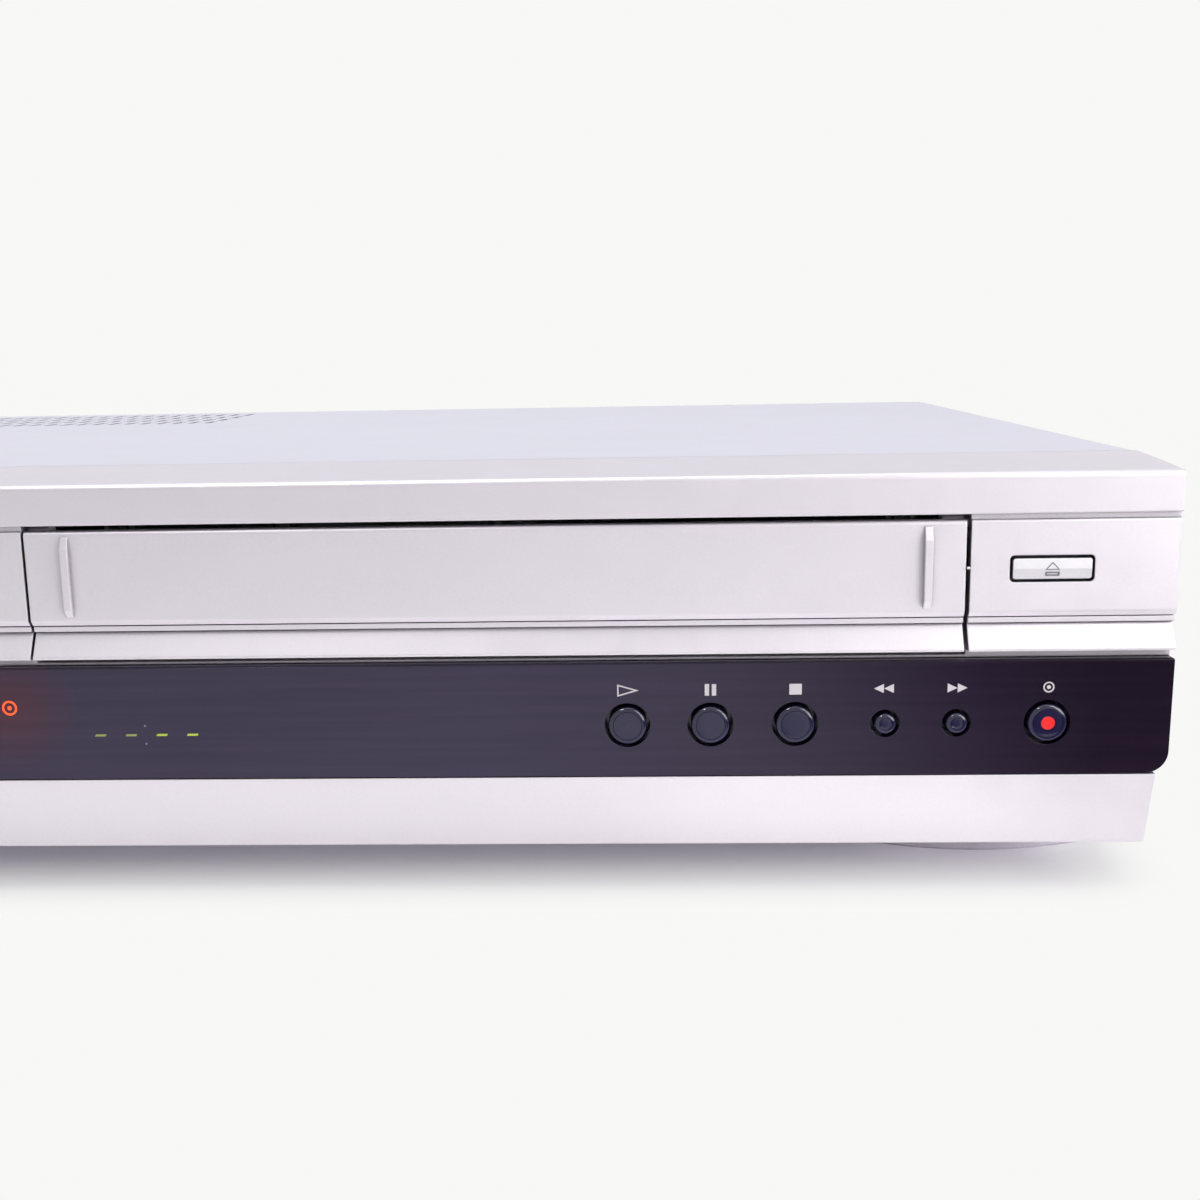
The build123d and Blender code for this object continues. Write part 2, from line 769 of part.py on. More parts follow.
def top_cover():
    """The folded steel cover, with a field of vent slots over its rear left."""
    start = bezel_depth + 0.5
    inner = cover_half - cover_wall
    low = case_bottom + 0.2
    outside = [(-cover_half, low), (cover_half, low)]
    outside += [(cover_half, height, cover_corner), (-cover_half, height, cover_corner)]
    inside = [(-inner, low - 1), (inner, low - 1)]
    inside += [(inner, height - cover_wall, cover_corner - cover_wall)]
    inside += [(-inner, height - cover_wall, cover_corner - cover_wall)]
    cover = along_y(outside, (start, depth)) - along_y(inside, (start - 1, depth + 1))
    slots = []
    for column in range(vent_columns):
        for row in range(vent_rows):
            x = vent_left - half + vent_pitch_x * column
            y = depth - vent_rear - vent_pitch_y * row
            corners = rectangle(x, y, vent_width, vent_length, vent_width / 2 - 0.01)
            slots.append(along_z(corners, (height - 2, height + 1)))
    cover -= slots
    for side in (-1, 1):
        for y in side_screws_y:
            through = sorted((side * (cover_half - 2), side * (cover_half + 2)))
            cover -= rod_x(y, side_screw_z, through, screw_r + fit_gap)
    return cover


def feet():
    """Four wide feet with a shallow curve at front and back."""
    pads = []
    x, y, side = foot_half_x, foot_half_y, foot_side_y
    front = ThreePointArc((-x, -side), (0, -y), (x, -side))
    back = ThreePointArc((x, side), (0, y), (-x, side))
    edge = [front, Line((x, -side), (x, side)), back, Line((-x, side), (-x, -side))]
    face = make_face(Wire(edge))
    pad = extrude(face, amount=case_bottom)
    pad = fillet(pad.edges().filter_by(Axis.Z), foot_corner)
    pad = chamfer(pad.edges().group_by(Axis.Z)[0], 0.6)
    for place_x in (-foot_x, foot_x):
        for place_y in (foot_y, depth - foot_back):
            pads.append(Pos(place_x, place_y, 0) * pad)
    return pads


def case_screws():
    """Four cover screws and four rear screws, all alike."""
    shank = Pos(0, 0, -screw_length / 2) * Cylinder(screw_r, screw_length)
    head = Pos(0, 0, screw_head / 2) * Cylinder(screw_head_r, screw_head)
    head = fillet(head.edges().group_by(Axis.Z)[-1], 0.5)
    slot_length, slot_width, slot_depth = screw_slot
    head -= Pos(0, 0, screw_head) * Box(slot_length, slot_width, slot_depth)
    head -= Pos(0, 0, screw_head) * Box(slot_width, slot_length, slot_depth)
    screw = head + shank
    screws = []
    for side in (-1, 1):
        for y in side_screws_y:
            screws.append(Pos(side * cover_half, y, side_screw_z) * Rot(0, side * 90, 0) * screw)
    for x in rear_screws_x:
        screws.append(Pos(x, rear_y + panel_wall, rear_screw_z) * Rot(-90, 0, 0) * screw)
    return screws


def cord_gland():
    """The rubber bush in the cord's inlet, with a bore that narrows at its outer lip."""
    front, back = rear_y - fit_gap, rear_y + panel_wall + fit_gap
    bush = rod_y(cord_x, cord_z, (front - bush_lip, back + bush_lip), bush_r)
    bush += rod_y(cord_x, cord_z, (front - bush_lip, front), bush_r + bush_lip)
    bush += rod_y(cord_x, cord_z, (back, back + bush_lip), bush_r + bush_lip)
    bush -= rod_y(cord_x, cord_z, (front - bush_lip, back), cord_bore + bush_relief)
    return bush - rod_y(cord_x, cord_z, (back, back + bush_lip), cord_bore)


# ------------------------------------------------------------------ electronics
def front_boards():
    """The board behind the strip, and a small board behind each long button."""
    y = (board_y, board_y + board_wall)
    boards = [box((board_end - half, half - board_end), y, front_board_z)]
    for x in bar_buttons.values():
        left = max(x - small_board, bezel_wall + 0.4 - half)
        boards.append(box((left, x + small_board), y, (bar_z - small_board_rise, bar_z + small_board_rise)))
    return boards


def display_tube():
    """The glass display behind the strip."""
    x = (display_x - display_width / 2, display_x + display_width / 2)
    tube = box(x, (display_front, board_y - slip_gap), (display_bottom, display_top))
    return chamfer(tube.edges().group_by(Axis.Y)[0], 0.8)


def front_sockets():
    """Three sockets at the strip's left end, each with its bore."""
    sockets = []
    reach = socket_block / 2
    for x in front_sockets_x:
        socket = rod_y(x, socket_z, (socket_front, board_y - slip_gap), socket_r)
        socket += box((x - reach, x + reach), (low_back + 1.0, board_y - slip_gap),
                      (socket_z - reach, socket_z + reach))
        sockets.append(socket - rod_y(x, socket_z, (socket_front, socket_front + socket_depth), socket_bore))
    return sockets


def circuit_board(x):
    """A board on its bosses, cut round the disc drive's posts."""
    board = box(x, (circuit_front, circuit_end), (circuit_z, circuit_top))
    for post_x, post_y in loader_posts:
        board -= rod_z(post_x, post_y, (circuit_z - 1, circuit_top + 1), loader_post_r + 0.8)
    return board


def board_parts():
    """Chips and capacitors on the main board; capacitors, a coil and a heat sink on the power board."""
    parts = []
    left = main_board_x[0]
    for x, y, size in chips:
        reach = size / 2
        x, y = left + x, circuit_front + y
        z = (circuit_top, circuit_top + chip_height)
        parts.append(box((x - reach, x + reach), (y - reach, y + reach), z))
    for i in range(5):
        parts.append(standing_can(left + 12.0 + 11.0 * i, circuit_front + 168.0, 3.2, 11.0))
    left = power_board_x[0]
    parts.append(standing_can(left + 20.0, circuit_front + 80.0, 11.0, 27.0))
    parts.append(standing_can(left + 60.0, circuit_front + 165.0, 10.0, 14.0))
    for i in range(4):
        parts.append(standing_can(left + 12.0 + 14.0 * i, circuit_front + 190.0, 5.0, 20.0))
    sink_x, sink_y = left + 38.0, circuit_front + 96.0
    z = (circuit_top, circuit_top + fin_height)
    sink = box((sink_x, sink_x + 4 * fin_pitch + fin_wall), (sink_y, sink_y + fin_wall), z)
    for i in range(5):
        x = sink_x + fin_pitch * i
        sink += box((x, x + fin_wall), (sink_y + fin_wall, sink_y + fin_length), z)
    parts.append(sink)
    return parts


def standing_can(x, y, radius, tall):
    """A capacitor or coil that stands on a circuit board."""
    return rod_z(x, y, (circuit_top, circuit_top + tall), radius)


def transformer():
    """The power supply's transformer: a core round a wound bobbin."""
    x, y = power_board_x[0] + 56.0, circuit_front + 55.0
    core_x, core_y = core_half
    window = core_x - core_leg
    low, high = circuit_top + 8.0, circuit_top + 22.0
    core = box((x - core_x, x + core_x), (y - core_y, y + core_y), (low - core_leg + 1, high + core_leg - 1))
    core -= box((x - window, x + window), (y - core_y - 1, y + core_y + 1), (low, high))
    neck = window - fit_gap
    bobbin = box((x - neck, x + neck), (y - bobbin_end, y + bobbin_end), (low + fit_gap, high - fit_gap))
    for side in (-1, 1):
        cheek = sorted((y + side * (core_y + fit_gap), y + side * bobbin_end))
        bobbin += box((x - core_x + 1, x + core_x - 1), cheek, (circuit_top, high))
    return [core, bobbin]


def tuner_can():
    """The screened tuner with two threaded antenna sockets through the rear pan."""
    can = box(tuner_x, (pan_y - fit_gap - tuner_length, pan_y - fit_gap), tuner_z)
    can += box((tuner_x[0] + 4, tuner_x[0] + 8), (pan_y - 40, pan_y - 20), (floor_top, tuner_z[0]))
    can += box((tuner_x[1] - 8, tuner_x[1] - 4), (pan_y - 40, pan_y - 20), (floor_top, tuner_z[0]))
    parts = [can]
    end = pan_y + rear_jack_length
    for x in antenna_x:
        thread = pan_y + panel_wall + slip_gap
        socket = rod_y(x, antenna_z, (pan_y - fit_gap, thread), antenna_neck_r)
        socket += rod_y(x, antenna_z, (thread, end), antenna_r)
        parts.append(socket - rod_y(x, antenna_z, (end - antenna_bore_depth, end), antenna_bore))
    return parts


def rear_socket_places():
    """The middles (x, z) of the rear sockets."""
    return [(rear_first + rear_pitch * i, z) for i in range(rear_columns) for z in rear_rows]


def rear_sockets():
    """The rear socket block on the main board, and its sleeves through the pan."""
    x = (rear_first - 8.0, rear_first + rear_pitch * (rear_columns - 1) + 8.0)
    parts = [box(x, (pan_y - 13.0, pan_y - fit_gap), (circuit_top, rear_rows[-1] + 8.0))]
    end = pan_y + rear_jack_length
    for place_x, z in rear_socket_places():
        sleeve = rod_y(place_x, z, (pan_y - fit_gap, end), socket_r)
        parts.append(sleeve - rod_y(place_x, z, (end - rear_bore_depth, end), socket_bore))
    return parts


def flat_cables():
    """Two flat cables from the front board over the chassis lip to the circuit boards."""
    top = circuit_top + cable_clear
    start = board_y + board_wall
    path = [(start, 30.0), (start + 13.0, 30.0), (start + 20.0, top), (start + 26.0, top)]
    lower = [(y - 0.15, z - cable_wall) for y, z in reversed(path[1:])]
    lower.append((start, path[0][1] - cable_wall))
    cables = []
    for left, _ in (main_board_x, power_board_x):
        cables.append(along_x(path + lower, (left + 34.0, left + 34.0 + cable_width)))
    return cables


# ------------------------------------------------------------------ disc drive
def loader_frame():
    """The disc drive's moulded frame, with tray ledges, keepers and posts."""
    x = tray_x
    across = (x - loader_half, x + loader_half)
    frame = box(across, (loader_front, loader_end), (loader_bottom, loader_deck))
    frame += box(across, (loader_end - 4.0, loader_end), (loader_bottom, loader_top))
    inner = tray_half + slip_gap + 0.1
    for side in (-1, 1):
        wall = sorted((x + side * inner, x + side * loader_half))
        frame += box(wall, (loader_front, loader_end), (loader_bottom, loader_top))
        lip = sorted((x + side * (inner - ledge), x + side * loader_half))
        low = tray_bottom - slip_gap
        high = tray_bottom + tray_wall + slip_gap
        frame += box(lip, (loader_front, loader_end), (low - ledge_wall, low))
        frame += box(lip, (loader_front, loader_end), (high, high + ledge_wall))
    window = (disc_y - spindle_motor_r - 1.0, 165.0)
    frame -= box((x - 25, x + 25), window, (loader_bottom - 1, loader_deck + 1))
    frame += rod_z(x + gear_x, gear_y, (loader_bottom, tray_bottom - 0.6), gear_post_r)
    for dx, y in lift_guides:
        frame += rod_z(x + dx, y, (loader_bottom, tray_bottom - 1.7), guide_r)
    frame -= rod_z(x + motor_gear_x, gear_y, (loader_bottom - 1, loader_deck + 1), 3.0)
    return frame


def disc_tray():
    """The sliding tray: a disc recess, a slot for the pickup, and a rack on its underside."""
    x = tray_x
    top = tray_bottom + tray_wall
    edge = [(x - tray_half, tray_start), (x + tray_half, tray_start)]
    edge += [(x + tray_half, tray_end, tray_corner), (x - tray_half, tray_end, tray_corner)]
    tray = along_z(edge, (tray_bottom, top))
    tray -= rod_z(x, disc_y, (tray_bottom + tray_floor, top + 1), disc_r)
    tray -= rod_z(x, disc_y, (tray_bottom - 1, top + 1), spindle_hole_r)
    tray -= box((x - sled_slot, x + sled_slot), (disc_y, sled_slot_end), (tray_bottom - 1, top + 1))
    pitch_line = x + gear_x - pitch_r
    near, far = pitch_line - 1.25 * gear_module, pitch_line + 0.8 * gear_module
    rack_z = (tray_bottom - rack_height, tray_bottom)
    tray += box((near - rack_back, near), (tray_start + 4.0, tray_end), rack_z)
    root, _, tip = tooth_half_widths(gear_module)
    spacing = pi * gear_module
    count = int((gear_y - tray_start - 8.0) / spacing)
    y = gear_y - (count + 0.5) * spacing
    teeth = []
    while y < tray_end - 2.0:
        tooth = [(near - 0.2, y - root), (near, y - root), (far, y - tip)]
        tooth += [(far, y + tip), (near, y + root), (near - 0.2, y + root)]
        teeth.append(along_z(tooth, rack_z))
        y += spacing
    return tray + teeth


def tray_front():
    """The silver front of the disc tray, level with the side panel."""
    slope = face_lean / (face_top - face_bottom)
    low_y = slope * (front_bottom - face_bottom)
    high_y = slope * (front_top - face_bottom)
    section = [(tray_start, front_bottom), (low_y, front_bottom, 0.4), (high_y, front_top, 0.4),
               (tray_start, front_top)]
    return along_x(section, (tray_x - front_half, tray_x + front_half))


def tray_gear():
    """The pinion that drives the rack, in one piece with the large wheel below it."""
    low = tray_bottom - wheel_drop
    pinion_low = tray_bottom - rack_height + 0.1
    pinion_high = tray_bottom - 0.4
    place = Pos(tray_x + gear_x, gear_y, 0)
    pinion = gear_face(gear_module, gear_teeth)
    gear = extrude(Pos(0, 0, pinion_low) * pinion, amount=pinion_high - pinion_low)
    gear += extrude(Pos(0, 0, low) * gear_face(wheel_module, wheel_teeth), amount=wheel_wall)
    gear += rod_z(0, 0, (low, pinion_low + 0.5), wheel_hub_r)
    gear -= rod_z(0, 0, (low - 1, pinion_high + 1), gear_post_r + running_gap)
    return place * gear


def loading_motor():
    """The motor under the loader's floor."""
    x = tray_x + motor_gear_x
    top = loader_bottom - fit_gap
    can = rod_z(x, gear_y, (top - loading_motor_length, top), loading_motor_r)
    can += rod_z(x, gear_y, (top - 1, tray_bottom - wheel_drop + wheel_wall + 0.5), motor_shaft_r)
    return can


def motor_gear():
    """The small gear on the loading motor's shaft."""
    low = tray_bottom - wheel_drop
    face = gear_face(wheel_module, motor_teeth, turn=180 / motor_teeth)
    gear = extrude(Pos(0, 0, low) * face, amount=wheel_wall)
    gear -= rod_z(0, 0, (low - 1, low + wheel_wall + 1), motor_shaft_r + running_gap)
    return Pos(tray_x + motor_gear_x, gear_y, 0) * gear


def traverse_frame():
    """The plate that carries the spindle and the pickup, lifted along four guides."""
    x = tray_x
    low, high = traverse_bottom, traverse_bottom + traverse_wall
    plate = box((x - traverse_half, x + traverse_half), (traverse_front, traverse_end), (low, high))
    end = sled_start + sled_length + sled_travel
    window = sled_half + 2.0
    plate -= box((x - window, x + window), (sled_start - 1.5, end + 3.0), (low - 1, high + 1))
    for dx, y in lift_guides:
        plate -= rod_z(x + dx, y, (low - 1, high + 1), guide_r + guide_gap)
    for side in (-1, 1):
        lug = sorted((x + side * (rod_offset - 3.0), x + side * (rod_offset + 3.0)))
        for y in ((sled_start - 4.5, sled_start - 1.5), (end + 3.0, end + 6.0)):
            plate += box(lug, y, (high - 0.5, rod_z_level + 2.5))
            plate -= rod_y(x + side * rod_offset, rod_z_level, (y[0] - 0.1, y[1] + 0.1), rod_r)
    plate -= rod_z(x, disc_y, (low - 1, high + 1), spindle_neck_r + fit_gap)
    return plate


def sled_rods():
    """The two steel rods that the pickup slides along."""
    end = sled_start + sled_length + sled_travel
    y = (sled_start - 4.5, end + 6.0)
    return [rod_y(tray_x + side * rod_offset, rod_z_level, y, rod_r) for side in (-1, 1)]


def pickup_sled():
    """The laser pickup on its rods, with the lens on top."""
    x = tray_x
    z = rod_z_level
    end = sled_start + sled_length
    sled = box((x - sled_half, x + sled_half), (sled_start, end), (z - 3.5, z + 2.6))
    sled += box((x - 9.0, x + 9.0), (sled_start + 2.5, sled_start + 20.0), (z + 2.0, tray_bottom - 3.0))
    sled += rod_z(x, sled_start + 10.0, (tray_bottom - 3.5, tray_bottom - 2.2), lens_r)
    for side in (-1, 1):
        sled -= rod_y(x + side * rod_offset, z, (sled_start - 1, end + 1), rod_r + running_gap)
    return sled


def spindle_motor():
    """The flat motor under the traverse plate."""
    low = traverse_bottom
    motor = rod_z(tray_x, disc_y, (low - spindle_motor_height, low), spindle_motor_r)
    motor += rod_z(tray_x, disc_y, (low, low + 3.0), spindle_neck_r)
    return motor - rod_z(tray_x, disc_y, (low - 3.0, low + 4), spindle_shaft_r + running_gap)


def turntable():
    """The disc platter with its centring cone and shaft."""
    low = table_top - 3.0
    table = rod_z(tray_x, disc_y, (low, table_top), turntable_r)
    table += rod_z(tray_x, disc_y, (table_top, table_top + 1.2), cone_r)
    table = chamfer(table.edges().group_by(Axis.Z)[-1], 0.6)
    return table + rod_z(tray_x, disc_y, (traverse_bottom - 2.0, low + 0.5), spindle_shaft_r)


def clamp_bridge():
    """The steel strap across the loader that holds the disc clamp."""
    z = (loader_top, loader_top + bridge_wall)
    y = (disc_y - bridge_width / 2, disc_y + bridge_width / 2)
    strap = box((tray_x - loader_half, tray_x + loader_half), y, z)
    strap += rod_z(tray_x, disc_y, z, clamp_neck_r + 6.0)
    return strap - rod_z(tray_x, disc_y, (z[0] - 1, z[1] + 1), clamp_neck_r + running_gap)


def disc_clamp():
    """The puck that hangs in the bridge and turns with a disc."""
    rest = loader_top + bridge_wall + fit_gap
    puck = rod_z(tray_x, disc_y, (tray_bottom + tray_wall + 0.5, tray_bottom + tray_wall + 3.5), clamp_r)
    puck += rod_z(tray_x, disc_y, (tray_bottom + tray_wall + 3.0, rest + 0.5), clamp_neck_r)
    return puck + rod_z(tray_x, disc_y, (rest, rest + 1.2), clamp_neck_r + 4.0)


# ------------------------------------------------------------------ cassette drive
def mech_deck():
    """The mechanism's steel deck on four posts, with the reel posts and the capstan's bearing."""
    left, right = cassette_x - deck_half, cassette_x + deck_half
    front, rear = reel_y - deck_ahead, drum_y + deck_behind
    deck = box((left, right), (front, rear), (deck_bottom, deck_top))
    for x in (left + deck_post_inset, right - deck_post_inset):
        for y in (front + deck_post_inset, rear - deck_post_inset):
            deck += rod_z(x, y, (floor_top, deck_bottom + 0.5), deck_post_r)
    for side in (-1, 1):
        post_top = deck_top + reel_rise + reel_height
        deck += rod_z(cassette_x + side * reel_spread, reel_y, (deck_bottom, post_top), reel_post_r)
    deck += rod_z(capstan_x, capstan_y, (deck_bottom, deck_top + bearing_height), bearing_r)
    through = (deck_bottom - 1, deck_top + bearing_height + 1)
    deck -= rod_z(capstan_x, capstan_y, through, capstan_r + running_gap)
    deck += rod_z(arm_x, arm_y, (deck_bottom, deck_top + arm_rise + arm_hub_height), arm_pin_r)
    deck -= rod_z(cassette_x, drum_y, (deck_bottom - 1, deck_top + 1), drum_shaft_r + 2.0)
    return deck


def side_brackets():
    """The fixed side plates with the level slots that guide the slider."""
    plates = []
    start = holder_front - 2.0
    end = holder_front + holder_length + holder_travel + 6.0
    low, high = deck_top, slider_peg_z() + 10.0
    for side in (-1, 1):
        near = cassette_x + side * bracket_half
        far = near + side * bracket_wall
        plate = box(sorted((near, far)), (start, end), (low, high))
        slot_half = peg_r + peg_gap
        slot = [(slider_pegs_y()[0] - slot_half, slider_peg_z() - slot_half),
                (slider_pegs_y()[-1] + holder_travel + slot_half, slider_peg_z() + slot_half)]
        plate -= box(sorted((near - side, far + side)), (slot[0][0], slot[1][0]), (slot[0][1], slot[1][1]))
        foot = sorted((near, near + side * 1.7))
        plate += box(foot, (reel_y - 55.0, end), (low, low + 2.0))
        plates.append(plate)
    return plates


def slider_peg_z():
    """The level of the slider's guide pegs."""
    return holder_bottom + holder_height - 4.6


def slider_pegs_y():
    """The slider's pegs along the case, at rest."""
    return (holder_front + 8.0, holder_front + holder_length - 8.0)


def holder_slider():
    """Two side plates on a cross bar; they run back in the brackets and let the holder drop."""
    plates = []
    top = holder_bottom + holder_height + 2.0
    low = holder_peg_z() - holder_drop - 6.0
    y = (holder_front, holder_front + holder_length)
    slot_half = peg_r + peg_gap
    slider = box((cassette_x - slider_half - slider_wall, cassette_x + slider_half + slider_wall),
                 (y[1] - 12.0, y[1]), (top, top + slider_wall))
    for side in (-1, 1):
        near = cassette_x + side * slider_half
        far = near + side * slider_wall
        plate = box(sorted((near, far)), y, (low, top + slider_wall))
        for peg_y in holder_pegs_y():
            plate -= box(sorted((near - side, far + side)), (peg_y - slot_half, peg_y + slot_half),
                         (holder_peg_z() - holder_drop - slot_half, holder_peg_z() + slot_half))
        slider += plate
        peg_end = cassette_x + side * (bracket_half + bracket_wall + 0.6)
        for peg_y in slider_pegs_y():
            slider += rod_x(peg_y, slider_peg_z(), sorted((far - side * 0.5, peg_end)), peg_r)
    return slider


def holder_peg_z():
    """The level of the holder's pegs before it drops."""
    return holder_bottom + 14.0


def holder_pegs_y():
    """The holder's pegs along the case, at rest."""
    return (holder_front + 17.0, holder_front + holder_length - 17.0)


def cassette_holder():
    """The cassette's basket: two rails with sides, joined by a bridge over the top."""
    y = (holder_front, holder_front + holder_length)
    top = holder_bottom + holder_height
    outer = holder_half + holder_wall
    across = (cassette_x - outer, cassette_x + outer)
    holder = box(across, (y[0], y[0] + bridge_length), (top - holder_wall, top))
    for side in (-1, 1):
        near = cassette_x + side * holder_half
        far = cassette_x + side * outer
        holder += box(sorted((near, far)), y, (holder_bottom, top))
        rail = sorted((far, far - side * (holder_rail + holder_wall)))
        holder += box(rail, y, (holder_bottom, holder_bottom + holder_wall))
        peg = sorted((far - side * 0.5, cassette_x + side * (slider_half + slider_wall + 0.4)))
        for peg_y in holder_pegs_y():
            holder += rod_x(peg_y, holder_peg_z(), peg, peg_r)
    return holder


def reel(side):
    """A reel table on its post: a disc, a hub and three drive fins."""
    low = deck_top + reel_rise
    table = rod_z(0, 0, (low, low + 3.0), reel_r) + rod_z(0, 0, (low, low + reel_height), reel_hub_r)
    table = chamfer(table.edges().group_by(Axis.Z)[-1], 1.0)
    for i in range(3):
        fin = box((reel_hub_r - 1.0, reel_hub_r + 2.0), (-1.0, 1.0), (low + 2.5, low + 11.0))
        table += Rot(0, 0, 120 * i) * fin
    table -= rod_z(0, 0, (low - 1, low + reel_height + 1), reel_post_r + running_gap)
    return Pos(cassette_x + side * reel_spread, reel_y, 0) * table


def drum_place():
    """The tilted frame of the head drum, from the lower drum's underside."""
    return Pos(cassette_x, drum_y, deck_top + drum_rise) * Rot(0, drum_tilt, 0)


def lower_drum():
    """The fixed drum on its foot, cut level where it stands on the deck."""
    foot_low = -drum_rise - 9.0
    drum = rod_z(0, 0, (0, lower_drum_height), drum_r) + rod_z(0, 0, (foot_low, 0.5), drum_foot_r)
    drum -= rod_z(0, 0, (foot_low - 1, lower_drum_height + 1), drum_shaft_r + running_gap)
    drum = drum_place() * drum
    reach = 2 * drum_r
    below = (deck_top - 40, deck_top)
    return drum - box((cassette_x - reach, cassette_x + reach), (drum_y - reach, drum_y + reach), below)


def upper_drum():
    """The turning drum with its shaft and four head windows."""
    low = lower_drum_height + drum_slit
    high = low + upper_drum_height
    drum = rod_z(0, 0, (low, high), drum_r)
    drum = chamfer(drum.edges().group_by(Axis.Z)[-1], 0.8)
    drum -= rod_z(0, 0, (high - 3.0, high + 1), drum_r - 6.0) - rod_z(0, 0, (high - 3.0, high + 1), 9.0)
    for i in range(4):
        window = box((drum_r - 3.0, drum_r + 1.0), (-2.5, 2.5), (low - 1, low + 2.0))
        drum -= Rot(0, 0, 90 * i) * window
    drum += rod_z(0, 0, (1.0, low + 0.5), drum_shaft_r)
    return drum_place() * drum


def capstan():
    """The capstan shaft in one piece with its flywheel under the deck."""
    low = deck_bottom - 1.2 - flywheel_height
    wheel = rod_z(capstan_x, capstan_y, (low, low + flywheel_height), flywheel_r)
    wheel -= rod_z(capstan_x, capstan_y, (low - 1, low + 2.0), flywheel_r - 4.0)
    return wheel + rod_z(capstan_x, capstan_y, (low + 1.0, deck_top + capstan_height), capstan_r)


def capstan_motor():
    """The capstan's drive board with its ring of coils, on the chassis floor."""
    low = floor_top + fit_gap
    board = box((capstan_x - 30, capstan_x + 30), (capstan_y - 30, capstan_y + 30), (low, low + 1.2))
    ring = rod_z(capstan_x, capstan_y, (low + 1.0, low + 2.6), flywheel_r - 5.0)
    return board + ring - rod_z(capstan_x, capstan_y, (low - 1, low + 4), 5.0)


def pinch_arm():
    """The lever that swings the pinch roller to the capstan."""
    low = deck_top + arm_rise
    high = low + arm_wall
    dx, dy = roller_x - arm_x, roller_y - arm_y
    middle = Pos(arm_x + dx / 2, arm_y + dy / 2, (low + high) / 2) * Rot(0, 0, degrees(atan2(dy, dx)))
    arm = middle * Box(arm_length, 6.0, arm_wall)
    arm += rod_z(arm_x, arm_y, (low, low + arm_hub_height), arm_hub_r)
    arm += rod_z(roller_x, roller_y, (low, high), 4.0)
    arm += rod_z(roller_x, roller_y, (low, high + roller_height + 6.0), roller_pin_r)
    return arm - rod_z(arm_x, arm_y, (low - 1, low + arm_hub_height + 1), arm_pin_r + running_gap)


def pinch_roller():
    """The rubber roller on the arm's pin."""
    low = deck_top + arm_rise + arm_wall + 0.6
    high = low + roller_height
    roller = rod_z(roller_x, roller_y, (low, high), roller_r)
    return roller - rod_z(roller_x, roller_y, (low - 1, high + 1), roller_pin_r + running_gap)


def tape_heads():
    """The erase head and the sound head, each on its foot."""
    heads = []
    for dx, dy in ((-54.0, -34.0), (24.0, -37.0)):
        x, y = cassette_x + dx, drum_y + dy
        head = box((x - 5, x + 5), (y - 3.5, y + 3.5), (deck_top + 8.0, deck_top + 26.0))
        head += box((x - 7, x + 7), (y - 4.5, y + 4.5), (deck_top, deck_top + 8.5))
        heads.append(head)
    return heads


def guide_posts():
    """Four posts that lead the tape, each between two flanges."""
    posts = []
    for turn, out in guide_places:
        x = cassette_x + (drum_r + out) * cos(radians(turn))
        y = drum_y + (drum_r + out) * sin(radians(turn))
        post = rod_z(x, y, (deck_top, deck_top + 29.0), 2.2)
        for z in (6.0, 27.0):
            post += rod_z(x, y, (deck_top + z, deck_top + z + 2.0), 3.8)
        posts.append(post)
    return posts


# ------------------------------------------------------------------ all nodes
def nodes():
    """Each sub-part's name and its solid, or a list of solids."""
    yield "top_cover", top_cover()
    yield "bottom_chassis", bottom_chassis()
    yield "rear_panel", rear_panel()
    yield "front_bezel", front_bezel()
    yield "display_strip", display_strip()
    yield "cassette_door", cassette_door()
    yield "door_spring", door_spring()
    yield "feet", feet()
    yield "case_screws", case_screws()
    yield "cord_gland", cord_gland()
    for name, (x, big) in round_buttons.items():
        yield name, round_button(x, big)
    for name, x in bar_buttons.items():
        yield name, bar_button(x)
    yield "front_boards", front_boards()
    yield "tact_switches", tact_switches()
    yield "display_tube", display_tube()
    yield "front_sockets", front_sockets()
    yield "main_board", circuit_board(main_board_x)
    yield "power_board", circuit_board(power_board_x)
    yield "board_parts", board_parts()
    yield "transformer", transformer()
    yield "tuner_can", tuner_can()
    yield "rear_sockets", rear_sockets()
    yield "flat_cables", flat_cables()
    yield "loader_frame", loader_frame()
    yield "disc_tray", disc_tray()
    yield "tray_front", tray_front()
    yield "tray_gear", tray_gear()
    yield "loading_motor", loading_motor()
    yield "motor_gear", motor_gear()
    yield "traverse_frame", traverse_frame()
    yield "spindle_motor", spindle_motor()
    yield "turntable", turntable()
    yield "pickup_sled", pickup_sled()
    yield "sled_rods", sled_rods()
    yield "clamp_bridge", clamp_bridge()
    yield "disc_clamp", disc_clamp()
    yield "mech_deck", mech_deck()
    yield "side_brackets", side_brackets()
    yield "holder_slider", holder_slider()
    yield "cassette_holder", cassette_holder()
    yield "supply_reel", reel(-1)
    yield "takeup_reel", reel(1)
    yield "lower_drum", lower_drum()
    yield "upper_drum", upper_drum()
    yield "capstan", capstan()
    yield "capstan_motor", capstan_motor()
    yield "pinch_arm", pinch_arm()
    yield "pinch_roller", pinch_roller()
    yield "tape_heads", tape_heads()
    yield "guide_posts", guide_posts()


os.makedirs("parts", exist_ok=True)
for name, shape in nodes():
    solids = shape if isinstance(shape, list) else [shape]
    placed = [Pos(0, -mid_y, 0) * solid for solid in solids]
    export_step(placed[0] if len(placed) == 1 else Compound(children=placed), f"parts/{name}.step")
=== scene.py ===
import bmesh
import bpy
import json
from math import cos, pi, radians, sin, tau
from mathutils import Matrix, Vector


